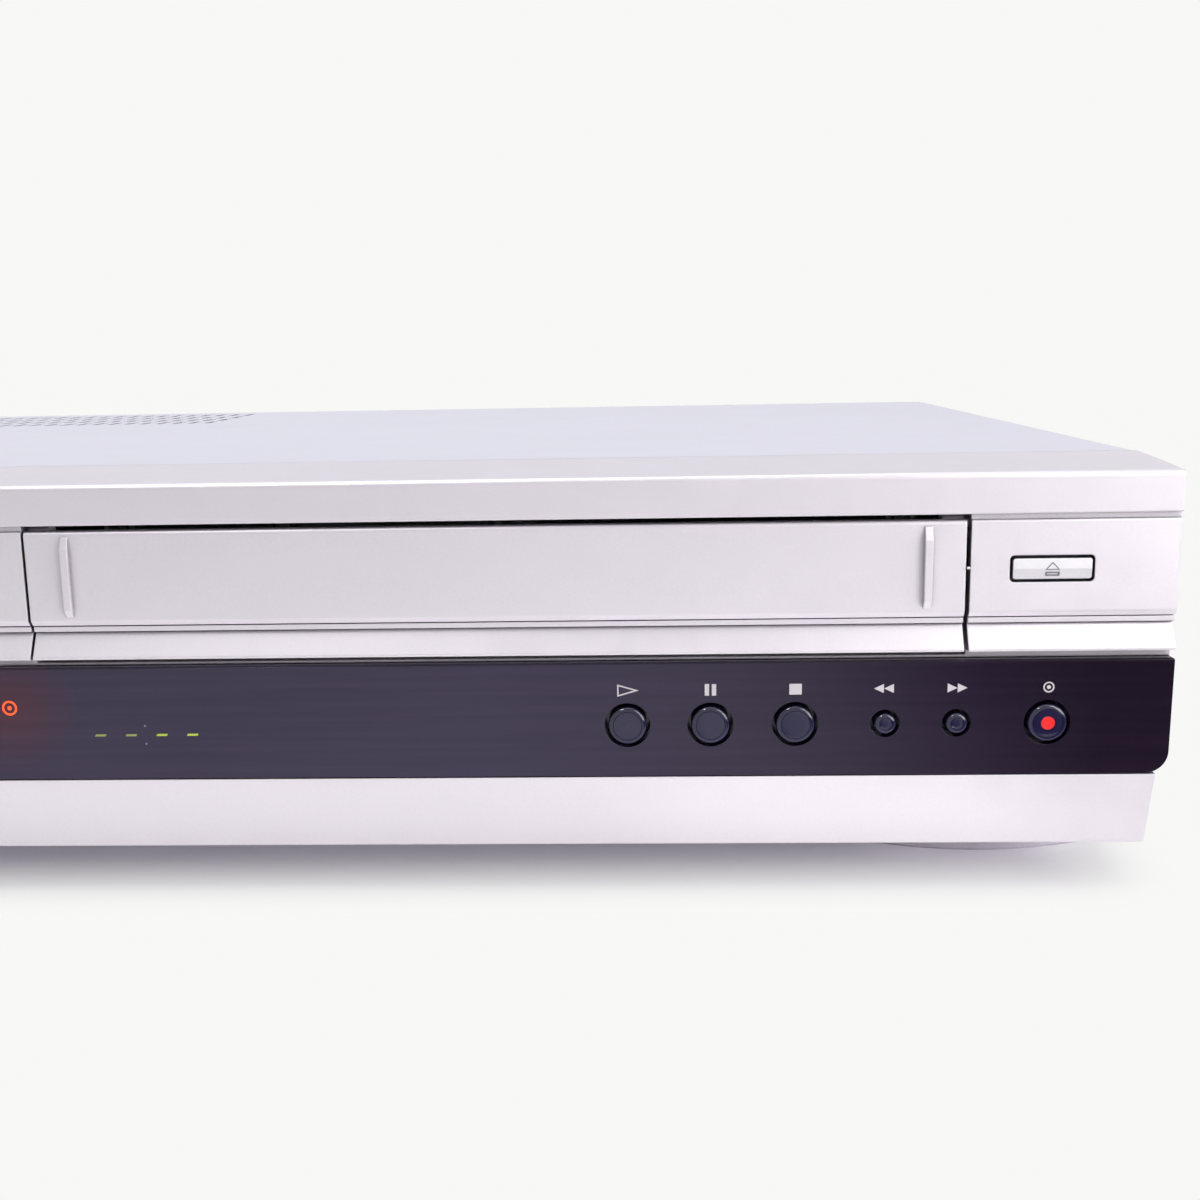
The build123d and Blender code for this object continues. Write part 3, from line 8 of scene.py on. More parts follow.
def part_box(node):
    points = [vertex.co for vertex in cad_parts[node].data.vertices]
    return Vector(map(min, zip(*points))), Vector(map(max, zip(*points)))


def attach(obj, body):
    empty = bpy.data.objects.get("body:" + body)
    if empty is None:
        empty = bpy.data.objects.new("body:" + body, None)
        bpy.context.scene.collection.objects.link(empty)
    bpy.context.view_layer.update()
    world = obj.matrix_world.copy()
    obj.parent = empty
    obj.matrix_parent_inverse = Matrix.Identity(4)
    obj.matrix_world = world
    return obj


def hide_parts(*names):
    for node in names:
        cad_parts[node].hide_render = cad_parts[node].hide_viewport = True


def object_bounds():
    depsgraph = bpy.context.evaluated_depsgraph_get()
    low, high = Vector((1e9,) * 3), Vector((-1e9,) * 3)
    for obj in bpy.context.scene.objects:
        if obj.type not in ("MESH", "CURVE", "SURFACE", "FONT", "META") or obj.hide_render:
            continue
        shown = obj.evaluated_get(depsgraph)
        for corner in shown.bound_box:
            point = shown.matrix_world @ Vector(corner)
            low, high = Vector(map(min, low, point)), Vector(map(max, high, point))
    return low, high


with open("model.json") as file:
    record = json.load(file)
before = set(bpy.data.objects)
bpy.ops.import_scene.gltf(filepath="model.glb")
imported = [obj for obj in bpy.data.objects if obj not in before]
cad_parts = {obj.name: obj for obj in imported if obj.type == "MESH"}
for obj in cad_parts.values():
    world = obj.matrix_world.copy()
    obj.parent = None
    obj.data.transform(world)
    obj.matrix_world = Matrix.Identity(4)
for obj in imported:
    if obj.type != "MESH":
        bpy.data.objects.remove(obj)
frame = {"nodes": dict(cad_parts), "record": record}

# The looks of a full-width disc player and cassette recorder. Lengths in mm are named in
# mm and turned to metres where a mesh is made. X runs to the right along the front, Y goes
# back, and Z goes up from the table.

mm = 0.001
cad_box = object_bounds()
nodes = frame["nodes"]

# ------------------------------------------------------------------ places from the frame
front_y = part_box("display_strip")[0].y / mm   # face of the black strip, in mm
print_thickness = 0.03                   # printed signs stand this much proud
lamp_x, lamp_z = -49.9, 45.7             # middle of the disc lamp behind the strip


def middle(node):
    """The middle of a node's box, in mm."""
    low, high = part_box(node)
    return (low + high) / 2 / mm


# ------------------------------------------------------------------ finishes
def tone(red, green, blue):
    """A colour as it is seen, 0 to 255, turned to the linear values that the shader takes."""
    seen = (red / 255, green / 255, blue / 255)
    return tuple(c / 12.92 if c <= 0.04045 else ((c + 0.055) / 1.055) ** 2.4 for c in seen)


class Finish:
    """A material on one shader. Its grain, blotches and relief come from object space."""

    def __init__(self, name, color, rough, **shader):
        self.material = bpy.data.materials.new(name)
        self.material.use_nodes = True
        self.tree = self.material.node_tree
        self.shader = self.tree.nodes["Principled BSDF"]
        self.shader.inputs["Base Color"].default_value = (*color, 1)
        self.shader.inputs["Roughness"].default_value = rough
        for socket, value in shader.items():
            self.shader.inputs[socket.replace("_", " ")].default_value = value
        self.color = color
        self.rough = rough
        self.place = self.node("ShaderNodeTexCoord").outputs["Object"]
        self.normal = None
        self.tint = None

    def node(self, kind, **settings):
        made = self.tree.nodes.new(kind)
        for key, value in settings.items():
            setattr(made, key, value)
        return made

    def link(self, output, target):
        self.tree.links.new(output, target)

    def noise(self, size, detail=3.0, stretch=(1, 1, 1)):
        """Noise whose features are about size mm across, drawn out along the axes."""
        scaled = self.node("ShaderNodeMapping")
        scaled.inputs["Scale"].default_value = [1 / (size * mm * s) for s in stretch]
        self.link(self.place, scaled.inputs["Vector"])
        noise = self.node("ShaderNodeTexNoise")
        noise.inputs["Scale"].default_value = 1.0
        noise.inputs["Detail"].default_value = detail
        self.link(scaled.outputs["Vector"], noise.inputs["Vector"])
        return noise.outputs["Fac"]

    def spread(self, value, low, high, start=0.3, end=0.7):
        """The value's range from start to end, turned to the range from low to high."""
        change = self.node("ShaderNodeMapRange")
        numbers = {"From Min": start, "From Max": end, "To Min": low, "To Max": high}
        for socket, number in numbers.items():
            change.inputs[socket].default_value = number
        self.link(value, change.inputs["Value"])
        return change.outputs["Result"]

    def shade(self, value, amount):
        """The colour gets lighter and darker by that amount with the value."""
        factor = self.spread(value, 1 - amount, 1 + amount)
        scale = self.node("ShaderNodeVectorMath", operation="SCALE")
        if self.tint is None:
            scale.inputs[0].default_value = self.color
        else:
            self.link(self.tint, scale.inputs[0])
        self.link(factor, scale.inputs["Scale"])
        self.tint = scale.outputs["Vector"]
        self.link(self.tint, self.shader.inputs["Base Color"])
        return self

    def paint(self, mask, color):
        """Another colour where the mask is 1."""
        mix = self.node("ShaderNodeMix", data_type="RGBA")
        self.link(mask, mix.inputs["Factor"])
        if self.tint is None:
            mix.inputs[6].default_value = (*self.color, 1)
        else:
            self.link(self.tint, mix.inputs[6])
        mix.inputs[7].default_value = (*color, 1)
        self.tint = mix.outputs[2]
        self.link(self.tint, self.shader.inputs["Base Color"])
        return self

    def wear(self, value, amount):
        """The surface gets rougher and smoother by that amount with the value."""
        low, high = self.rough - amount, self.rough + amount
        change = self.spread(value, max(low, 0.02), min(high, 1.0))
        self.link(change, self.shader.inputs["Roughness"])
        return self

    def round_edges(self, radius):
        """Edges catch the light as if they had that radius, in mm."""
        bevel = self.node("ShaderNodeBevel", samples=4)
        bevel.inputs["Radius"].default_value = radius * mm
        self.normal = bevel.outputs["Normal"]
        self.link(self.normal, self.shader.inputs["Normal"])
        return self

    def relief(self, value, depth, strength=1.0):
        """Bumps of that depth, in mm."""
        bump = self.node("ShaderNodeBump")
        bump.inputs["Strength"].default_value = strength
        bump.inputs["Distance"].default_value = depth * mm
        self.link(value, bump.inputs["Height"])
        if self.normal is not None:
            self.link(self.normal, bump.inputs["Normal"])
        self.normal = bump.outputs["Normal"]
        self.link(self.normal, self.shader.inputs["Normal"])
        return self

    def painted_crevice_shade(self, reach, color):
        """Painted shade: a darker colour deep in gaps and grooves that are about reach mm wide, where
        ambient occlusion finds them.
        """
        hidden = self.node("ShaderNodeAmbientOcclusion", samples=4)
        hidden.inputs["Distance"].default_value = reach * mm
        return self.paint(self.spread(hidden.outputs["AO"], 1.0, 0.0, 0.3, 0.8), color)

    def glow(self, color, strength):
        self.shader.inputs["Emission Color"].default_value = (*color, 1)
        self.shader.inputs["Emission Strength"].default_value = strength
        return self


def metallic_moulding(name, color, rough=0.42):
    """Plastic with a silver metallic lacquer: fine flakes, a soft sheen and painted shade in its gaps and
    grooves.
    """
    made = Finish(name, color, rough, Metallic=0.35, IOR=1.5)
    flakes = made.noise(0.35, 2.0)
    made.shade(flakes, 0.022).shade(made.noise(14.0, 2.0), 0.008)
    # painted shade: a dark purple grey deep in the gaps and grooves
    made.wear(made.noise(6.0, 4.0), 0.04).painted_crevice_shade(2.0, tone(52, 44, 62))
    return made.round_edges(0.42).relief(flakes, 0.004, 0.5)


def moulding(name, color, rough, size=0.5, depth=0.01, **shader):
    """Moulded plastic with a fine spark-eroded grain."""
    made = Finish(name, color, rough, **shader)
    grain = made.noise(size, 3.0)
    made.shade(grain, 0.04).shade(made.noise(20.0, 3.0), 0.04).wear(made.noise(8.0, 4.0), 0.05)
    return made.round_edges(0.25).relief(grain, depth, 0.6)


def rolled_sheet(name, color, rough, along=(30, 1, 1), metal=1.0):
    """Plated sheet metal with rolling lines and dull patches."""
    made = Finish(name, color, rough, Metallic=metal)
    lines = made.noise(0.3, 4.0, along)
    made.shade(lines, 0.05).shade(made.noise(16.0, 5.0), 0.07).wear(made.noise(9.0, 5.0), 0.1)
    return made.round_edges(0.25).relief(lines, 0.004, 0.4)


def turned_metal(name, color, rough):
    """Turned and polished metal with fine lines round its upright axis."""
    made = Finish(name, color, rough, Metallic=1.0)
    lines = made.noise(0.15, 2.0, (60, 60, 1))
    made.shade(lines, 0.04).shade(made.noise(10.0, 3.0), 0.03).wear(lines, 0.05)
    return made.round_edges(0.2)


def circuit_board(name, color, copper):
    """A board whose tracks show through the lacquer, with tinned joints."""
    made = Finish(name, color, 0.42)
    bricks = made.node("ShaderNodeTexBrick", offset=0.37, squash=1.6)
    bricks.inputs["Scale"].default_value = 1.0
    for socket, size in (("Brick Width", 9.0), ("Row Height", 2.6), ("Mortar Size", 0.35)):
        bricks.inputs[socket].default_value = size
    scaled = made.node("ShaderNodeMapping")
    scaled.inputs["Scale"].default_value = [1 / mm] * 3
    made.link(made.place, scaled.inputs["Vector"])
    made.link(scaled.outputs["Vector"], bricks.inputs["Vector"])
    tracks = bricks.outputs["Fac"]
    cells = made.node("ShaderNodeTexVoronoi", feature="F1")
    cells.inputs["Scale"].default_value = 0.22
    made.link(scaled.outputs["Vector"], cells.inputs["Vector"])
    joints = made.spread(cells.outputs["Distance"], 1.0, 0.0, 0.14, 0.19)
    made.shade(made.noise(30.0), 0.06).paint(tracks, copper).paint(joints, tone(196, 198, 200))
    made.wear(made.noise(3.0), 0.1)
    return made.round_edges(0.15).relief(tracks, 0.03, 0.5)


def paint_on_steel(name, color, rough):
    """Stoved paint with a fine orange peel."""
    made = Finish(name, color, rough, Metallic=0.25, Coat_Weight=0.15, Coat_Roughness=0.35)
    peel = made.noise(0.9, 2.0)
    made.shade(made.noise(0.4, 2.0), 0.018).shade(made.noise(40.0, 3.0), 0.01)
    made.wear(made.noise(25.0, 4.0), 0.04)
    return made.round_edges(0.4).relief(peel, 0.012, 0.5)


def smoked_gloss(name):
    """Polished black acrylic with wiped marks. Its colour holds painted light: paler over the left side,
    partly the display window behind and partly a painted reflection, a painted red glow round the disc
    lamp, and long painted reflection streaks.
    """
    made = Finish(name, tone(29, 21, 34), 0.07, IOR=1.33)
    split = made.node("ShaderNodeSeparateXYZ")
    made.link(made.place, split.inputs["Vector"])
    # paler towards the left: partly the display window behind, mostly a painted reflection that fades out
    # towards the right end
    window_and_reflection = made.spread(split.outputs["X"], 1.0, 0.0, 0.06, 0.20)
    made.paint(window_and_reflection, tone(56, 49, 70))
    # a painted glow: the strip turns red close round the disc lamp, as if lit by it
    lamp_glow_distance = made.node("ShaderNodeVectorMath", operation="DISTANCE")
    made.link(made.place, lamp_glow_distance.inputs[0])
    lamp_glow_distance.inputs[1].default_value = Vector((lamp_x, front_y, lamp_z)) * mm
    made.paint(made.spread(lamp_glow_distance.outputs["Value"], 0.55, 0.0, 0.002, 0.016), tone(86, 40, 44))
    # lighter and darker streaks along X, broad and fine: painted reflection streaks
    made.shade(made.noise(60.0, 4.0, (3, 1, 1)), 0.12).shade(made.noise(1.6, 5.0, (40, 1, 1)), 0.1)
    wipes = made.noise(5.0, 6.0, (14, 1, 1))
    made.wear(wipes, 0.03)
    return made.round_edges(0.25)


def black_cap(name):
    """The round buttons' polished dark plastic."""
    made = Finish(name, tone(30, 26, 56), 0.1, IOR=1.45, Coat_Weight=0.3, Coat_Roughness=0.04)
    made.shade(made.noise(3.0, 3.0), 0.1).wear(made.noise(2.0, 4.0), 0.04)
    return made


def lit(name, color, strength):
    """A sign that glows behind the strip, uneven as such signs are."""
    made = Finish(name, color, 0.4)
    made.shade(made.noise(0.8, 2.0), 0.15)
    return made.glow(color, strength)


def printed(name, color):
    """Printing ink with a slight grain."""
    made = Finish(name, color, 0.55)
    made.shade(made.noise(0.3, 2.0), 0.06)
    return made.relief(made.noise(0.2, 2.0), 0.003, 0.4)


silver = tone(222, 216, 223)
finishes = {
    "cover_paint": paint_on_steel("cover_paint", tone(222, 220, 232), 0.46),
    "silver_plastic": metallic_moulding("silver_plastic", silver),
    "silver_button": metallic_moulding("silver_button", tone(232, 229, 233), 0.36),
    "black_gloss": smoked_gloss("black_gloss"),
    "black_button": black_cap("black_button"),
    "foot_plastic": moulding("foot_plastic", tone(208, 203, 214), 0.5, 0.6, 0.02),
    "zinc_steel": rolled_sheet("zinc_steel", tone(186, 188, 190), 0.38),
    "screw_steel": rolled_sheet("screw_steel", tone(176, 178, 184), 0.3, (1, 1, 1)),
    "rear_paint": paint_on_steel("rear_paint", tone(202, 200, 208), 0.5),
    "rubber_black": moulding("rubber_black", tone(44, 43, 45), 0.7, 0.4, 0.02),
    "board_green": circuit_board("board_green", tone(38, 92, 52), tone(74, 128, 66)),
    "board_tan": circuit_board("board_tan", tone(186, 152, 98), tone(160, 108, 62)),
    "part_black": moulding("part_black", tone(46, 46, 49), 0.45),
    "socket_black": moulding("socket_black", tone(42, 42, 45), 0.4),
    "display_glass": Finish("display_glass", tone(66, 80, 76), 0.08, IOR=1.5, Coat_Weight=0.5),
    "tin_plate": rolled_sheet("tin_plate", tone(204, 204, 202), 0.3),
    "ferrite": moulding("ferrite", tone(72, 66, 64), 0.6, 0.8, 0.04),
    "cable_white": moulding("cable_white", tone(228, 230, 232), 0.4, 0.6, 0.006),
    "loader_black": moulding("loader_black", tone(48, 48, 52), 0.5, 0.5, 0.02),
    "tray_grey": moulding("tray_grey", tone(92, 92, 98), 0.48, 0.5, 0.02),
    "gear_white": moulding("gear_white", tone(236, 232, 220), 0.38, 0.5, 0.004),
    "lens_carrier": moulding("lens_carrier", tone(54, 54, 58), 0.45),
    "rod_steel": turned_metal("rod_steel", tone(220, 221, 223), 0.16),
    "clamp_white": moulding("clamp_white", tone(228, 228, 224), 0.42, 0.5, 0.006),
    "drum_alloy": turned_metal("drum_alloy", tone(214, 215, 218), 0.2),
    "reel_black": moulding("reel_black", tone(50, 50, 53), 0.42, 0.5, 0.01),
    "roller_rubber": moulding("roller_rubber", tone(40, 39, 40), 0.62, 0.3, 0.006),
    "head_brass": turned_metal("head_brass", tone(206, 182, 120), 0.26),
    "spring_steel": rolled_sheet("spring_steel", tone(150, 152, 156), 0.3, (1, 1, 1)),
}
glass = finishes["display_glass"]
glass.shade(glass.noise(8.0, 2.0), 0.1)

for part in frame["record"]["subparts"]:
    piece = nodes[part["node"]]
    piece.data.materials.clear()
    piece.data.materials.append(finishes[part["material_slot"]].material)

ink = printed("sign_ink", tone(196, 190, 194))
dark_ink = printed("dark_ink", tone(96, 93, 104))
pale_ink = printed("panel_ink", tone(96, 96, 104))
record_red = Finish("record_red", tone(232, 36, 34), 0.25, Coat_Weight=0.5)
record_red.shade(record_red.noise(0.6), 0.06)
amber = lit("amber_light", tone(255, 78, 14), 1.0)
green_light = lit("green_light", tone(150, 172, 52), 0.42)
faint_light = lit("faint_light", tone(134, 136, 72), 0.32)
dim_light = lit("dim_light", tone(108, 122, 128), 0.12)
nickel = turned_metal("nickel", tone(214, 214, 212), 0.2)
ring_colours = {
    "yellow": moulding("ring_yellow", tone(226, 190, 40), 0.4, 0.4, 0.004),
    "white": moulding("ring_white", tone(232, 232, 228), 0.4, 0.4, 0.004),
    "red": moulding("ring_red", tone(196, 38, 40), 0.4, 0.4, 0.004),
    "green": moulding("ring_green", tone(40, 142, 74), 0.4, 0.4, 0.004),
    "blue": moulding("ring_blue", tone(40, 82, 168), 0.4, 0.4, 0.004),
    "orange": moulding("ring_orange", tone(226, 120, 36), 0.4, 0.4, 0.004),
}


# ------------------------------------------------------------------ making meshes
def add_piece(name, bm, finish, body, sharp=35.0):
    """Turns a bmesh into a piece that rides on a body; edges over the sharp angle stay crisp."""
    bmesh.ops.recalc_face_normals(bm, faces=bm.faces)
    for face in bm.faces:
        face.smooth = True
    for edge in bm.edges:
        if len(edge.link_faces) == 2 and edge.calc_face_angle(0) > radians(sharp):
            edge.smooth = False
    mesh = bpy.data.meshes.new(name)
    bm.to_mesh(mesh)
    bm.free()
    piece = bpy.data.objects.new(name, mesh)
    bpy.context.scene.collection.objects.link(piece)
    mesh.materials.append(finish.material)
    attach(piece, body)
    return piece


def prism(bm, outline, y, thick, place=(0, 0), hole=None):
    """A flat sign: an outline of (x, z) in mm, extruded along Y. A hole has as many points."""
    def ring(points, depth):
        return [bm.verts.new(Vector((place[0] + px, depth, place[1] + pz)) * mm) for px, pz in points]
    count = len(outline)
    outer = [ring(outline, y), ring(outline, y + thick)]
    walls = [outer]
    if hole:
        inner = [ring(hole, y), ring(hole, y + thick)]
        walls.append(inner)
        for side in (0, 1):
            for i in range(count):
                j = (i + 1) % count
                bm.faces.new((outer[side][i], outer[side][j], inner[side][j], inner[side][i]))
    else:
        bm.faces.new(outer[0])
        bm.faces.new(list(reversed(outer[1])))
    for near, far in walls:
        for i in range(count):
            j = (i + 1) % count
            bm.faces.new((near[i], near[j], far[j], far[i]))


def inset(outline, stroke):
    """The convex outline moved inwards by the stroke."""
    count = len(outline)
    following = outline[1:] + outline[:1]
    area = sum(p[0] * q[1] - q[0] * p[1] for p, q in zip(outline, following))
    turn = 1 if area > 0 else -1
    lines = []
    for p, q in zip(outline, following):
        start, end = Vector(p), Vector(q)
        along = (end - start).normalized()
        inward = Vector((-along.y, along.x)) * turn * stroke
        lines.append((start + inward, along))
    corners = []
    for i in range(count):
        (p, u), (q, v) = lines[i - 1], lines[i]
        reach = (q - p).cross(v) / u.cross(v)
        corners.append(tuple(p + u * reach))
    return corners


def rectangle(width, height, x=0.0, z=0.0):
    return [(x - width / 2, z - height / 2), (x + width / 2, z - height / 2),
            (x + width / 2, z + height / 2), (x - width / 2, z + height / 2)]


def circle(radius, count=32):
    turns = [tau * i / count for i in range(count)]
    return [(radius * cos(t), radius * sin(t)) for t in turns]


def triangle(width, height):
    """Pointing to +X for a positive width, to -X for a negative one."""
    return [(-width / 2, -height / 2), (width / 2, 0), (-width / 2, height / 2)]


def arrow_up(width, height, z=0.0):
    return [(-width / 2, z - height / 2), (width / 2, z - height / 2), (0, z + height / 2)]


def lathe(bm, profile, x, z, count=64):
    """A profile of (radius, y) in mm, turned about the line along Y through x, z."""
    rings = []
    for radius, y in profile:
        if radius < 1e-6:
            rings.append([bm.verts.new(Vector((x, y, z)) * mm)])
            continue
        points = [(x + px, y, z + pz) for px, pz in circle(radius, count)]
        rings.append([bm.verts.new(Vector(point) * mm) for point in points])
    for near, far in zip(rings, rings[1:]):
        for i in range(count):
            j = (i + 1) % count
            if len(near) == 1:
                bm.faces.new((near[0], far[j], far[i]))
            elif len(far) == 1:
                bm.faces.new((near[i], near[j], far[0]))
            else:
                bm.faces.new((near[i], near[j], far[j], far[i]))


# ------------------------------------------------------------------ round buttons
rim = 0.85               # radius of a cap's rounded edge
rim_back = 0.04          # its front behind the cap's box
rim_steps = 8
dish = 0.12              # a cap's middle lies this far back
dish_steps = 6
dish_curve = 4           # power of the dish's curve, flat in the middle
lip = 0.14               # width of the line round a cap's face
lip_back = 0.02
flange_back = 6.1        # from a cap's front to its flange
flange_wall = 1.0
flange_edge = 1.65       # flange past the cap
stem_r = 2.2
stem_share = 0.98        # of the stem, so that it lies inside the CAD's
nub_r = 0.32             # raised dot on the play button
nub_back = 0.02
nub_count = 16


def cap_profile(front, back, flange_r):
    """Half a cap's section as (radius, y), from the middle of its face to the stem's end."""
    radius = flange_r - flange_edge
    face_r = radius - rim - 2 * lip
    flange_y = front + flange_back
    stem = min(stem_r, radius) * stem_share
    profile = [(0.0, front + dish)]
    for i in range(1, dish_steps + 1):
        share = i / dish_steps
        profile.append((face_r * share, front + dish - dish * share ** dish_curve))
    profile += [(face_r + lip * 0.5, front + dish), (face_r + lip, front + lip_back)]
    for i in range(rim_steps + 1):
        turn = pi / 2 * i / rim_steps
        profile.append((radius - rim + rim * sin(turn), front + rim_back + rim * (1 - cos(turn))))
    profile += [(radius, flange_y), (flange_r, flange_y), (flange_r, flange_y + flange_wall)]
    profile += [(stem, flange_y + flange_wall), (stem, back), (0.0, back)]
    return profile


def round_cap(name):
    """A glossy cap with a rounded rim and a dished face, its flange and its stem."""
    low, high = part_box(name)
    x, z = middle(name).x, middle(name).z
    front, back = low.y / mm, high.y / mm
    bm = bmesh.new()
    lathe(bm, cap_profile(front, back, (high.x - low.x) / mm / 2), x, z)
    if name == "play_button":
        nub = [(0.0, front), (nub_r * 0.6, front + nub_back), (nub_r, front + dish)]
        lathe(bm, nub, x, z, nub_count)
    piece = add_piece(name.replace("_button", "_cap"), bm, finishes["black_button"],
                      name.replace("_button", "_key"))
    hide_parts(name)
    return front


round_names = ["play", "pause", "stop", "rewind", "forward", "record", "open_close", "source",
               "channel_down", "channel_up"]
cap_front = {name: round_cap(name + "_button") for name in round_names}


# ------------------------------------------------------------------ signs on the strip
sign_z = 48.7
sign_y = front_y - print_thickness
stroke = 0.32                                       # line width of an outlined sign
play_size, play_shift = (4.9, 2.9), 0.2
pause_bar, pause_apart = (1.0, 2.7), 1.6
stop_size = (2.8, 2.5)
wind_size, wind_apart = (2.2, 2.1), 2.24
rewind_shift = -0.45
record_ring_r, record_spot_r = 1.25, 0.45
lid_size, lid_rise = (3.4, 1.9), 0.5                # the open/close sign's arrow
lid_bar, lid_bar_drop = (3.4, 0.7), 1.1             # and the bar under it
source_ring_r, source_ring_shift = 1.3, -1.0
source_box, source_box_shift = (2.2, 1.8), 1.7
channel_bar = (2.4, 0.5)
channel_half_post, channel_post_rise = (0.5, 0.95), 0.725
small_circle = 16                                   # points of a small round spot


def sign(bm, outline, x, hole=None):
    """A printed sign on the strip, with its middle at x."""
    prism(bm, outline, sign_y, print_thickness, (x, sign_z), hole)


def strip_signs():
    """The signs over the buttons."""
    bm = bmesh.new()
    at = {name: middle(name + "_button").x for name in round_names}
    play = triangle(*play_size)
    sign(bm, play, at["play"] + play_shift, inset(play, stroke))
    for way in (-1, 1):
        sign(bm, rectangle(*pause_bar), at["pause"] + way * pause_apart / 2)
    sign(bm, rectangle(*stop_size), at["stop"])
    for x, way in ((at["rewind"] + rewind_shift, -1), (at["forward"], 1)):
        for side in (-1, 1):
            sign(bm, triangle(wind_size[0] * way, wind_size[1]), x + side * wind_apart / 2)
    sign(bm, circle(record_ring_r), at["record"], circle(record_ring_r - stroke))
    sign(bm, circle(record_spot_r, small_circle), at["record"])
    lid = arrow_up(*lid_size, lid_rise)
    sign(bm, lid, at["open_close"], inset(lid, stroke))
    sign(bm, rectangle(*lid_bar, 0, -lid_bar_drop), at["open_close"])
    sign(bm, circle(source_ring_r), at["source"] + source_ring_shift, circle(source_ring_r - stroke))
    box = rectangle(*source_box)
    sign(bm, box, at["source"] + source_box_shift, inset(box, stroke))
    for name in ("channel_down", "channel_up"):
        sign(bm, rectangle(*channel_bar), at[name])
    for way in (1, -1):
        sign(bm, rectangle(*channel_half_post, 0, way * channel_post_rise), at["channel_up"])
    return add_piece("strip_signs", bm, ink, "case")


strip_signs()

spot_profile = ((0.0, -0.08), (1.2, -0.07), (1.5, -0.04), (1.56, 0.02))   # radius, y from the dish


def record_dot():
    """The red dot on the record button's cap."""
    place = middle("record_button")
    front = cap_front["record"]
    bm = bmesh.new()
    lathe(bm, [(radius, front + dish + y) for radius, y in spot_profile], place.x, place.z, 40)
    return add_piece("record_dot", bm, record_red, "record_key")


record_dot()


# ------------------------------------------------------------------ lights behind the strip
dash_z = 38.98
dash_first = -29.2
dash_pitch = 7.2
dash_size = (2.5, 0.5)
dash_lean = 0.25
colon_x = -18.5
colon_rise, colon_drop, colon_r = 2.2, 2.1, 0.24    # its dots from the dashes
lamp_ring_r, lamp_hole_r, lamp_spot_r = 1.75, 1.3, 0.5


def display_lights():
    """The clock's four dashes and colon, and the disc lamp."""
    dashes = {"faint_dashes": (faint_light, (0, 1)), "clock_dashes": (green_light, (2, 3))}
    for name, (light, places) in dashes.items():
        bm = bmesh.new()
        for i in places:
            shape = [(x + (dash_lean if z > 0 else 0.0), z) for x, z in rectangle(*dash_size)]
            prism(bm, shape, sign_y, print_thickness, (dash_first + dash_pitch * i, dash_z))
        add_piece(name, bm, light, "case")
    bm = bmesh.new()
    for z in (dash_z + colon_rise, dash_z - colon_drop):
        prism(bm, circle(colon_r, 12), sign_y, print_thickness, (colon_x, z))
    add_piece("clock_dots", bm, dim_light, "case")
    bm = bmesh.new()
    place = (lamp_x, lamp_z)
    prism(bm, circle(lamp_ring_r), sign_y, print_thickness, place, circle(lamp_hole_r))
    prism(bm, circle(lamp_spot_r, small_circle), sign_y, print_thickness, place)
    add_piece("disc_lamp", bm, amber, "case")


display_lights()


# ------------------------------------------------------------------ signs on the long buttons
sunk_print, proud_print = 0.14, 0.02     # a long button's sign behind and before its front
power_gap, power_steps = radians(38), 26
power_r, power_width = 1.15, 0.28
power_post, power_post_rise = 1.3, 0.75
eject_arrow, eject_arrow_rise = (3.2, 1.7), 0.62
eject_bar, eject_bar_drop = (3.0, 0.8), 1.15
eject_line = 0.16


def power_ring():
    """A ring that is open at the top, as one outline."""
    sweep = tau - 2 * power_gap
    turns = [pi / 2 + power_gap + sweep * i / power_steps for i in range(power_steps + 1)]
    outer, inner = power_r + power_width / 2, power_r - power_width / 2
    arc = [(outer * cos(t), outer * sin(t)) for t in turns]
    return arc + [(inner * cos(t), inner * sin(t)) for t in reversed(turns)]


def bar_sign(node, body, power=False):
    """An outlined arrow over an outlined bar, or a ring with a stroke, on a long button."""
    place = middle(node)
    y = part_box(node)[0].y / mm - proud_print
    thick = proud_print + sunk_print
    bm = bmesh.new()
    if power:
        for shape in (power_ring(), rectangle(power_width, power_post, 0, power_post_rise)):
            prism(bm, shape, y, thick, (place.x, place.z))
    else:
        for shape in (arrow_up(*eject_arrow, eject_arrow_rise), rectangle(*eject_bar, 0, -eject_bar_drop)):
            prism(bm, shape, y, thick, (place.x, place.z), inset(shape, eject_line))
    return add_piece(node.replace("_button", "_sign"), bm, dark_ink, body)


bar_sign("cassette_eject_button", "cassette_eject_key")
bar_sign("power_button", "power_key", power=True)


# ------------------------------------------------------------------ front panel
skirt_top, skirt_bottom = 28.05, 10.97   # heights of the bottom strip's skin
skirt_front, skirt_foot = 1.17, 2.68     # its face behind the front, top and bottom
skirt_wall = 1.2
skirt_back = 5.5                         # how far back its rolled lower edge reaches
skirt_roll = 0.5                         # radius of the rolled edge
skirt_side, skirt_taper = 2.17, 1.06     # inside the case's width, and drawn in below, each side
skirt_rise, skirt_wall_rise = 1.5, 2.2   # from its lower edge to the ends of the roll and the wall
roll_steps = 4


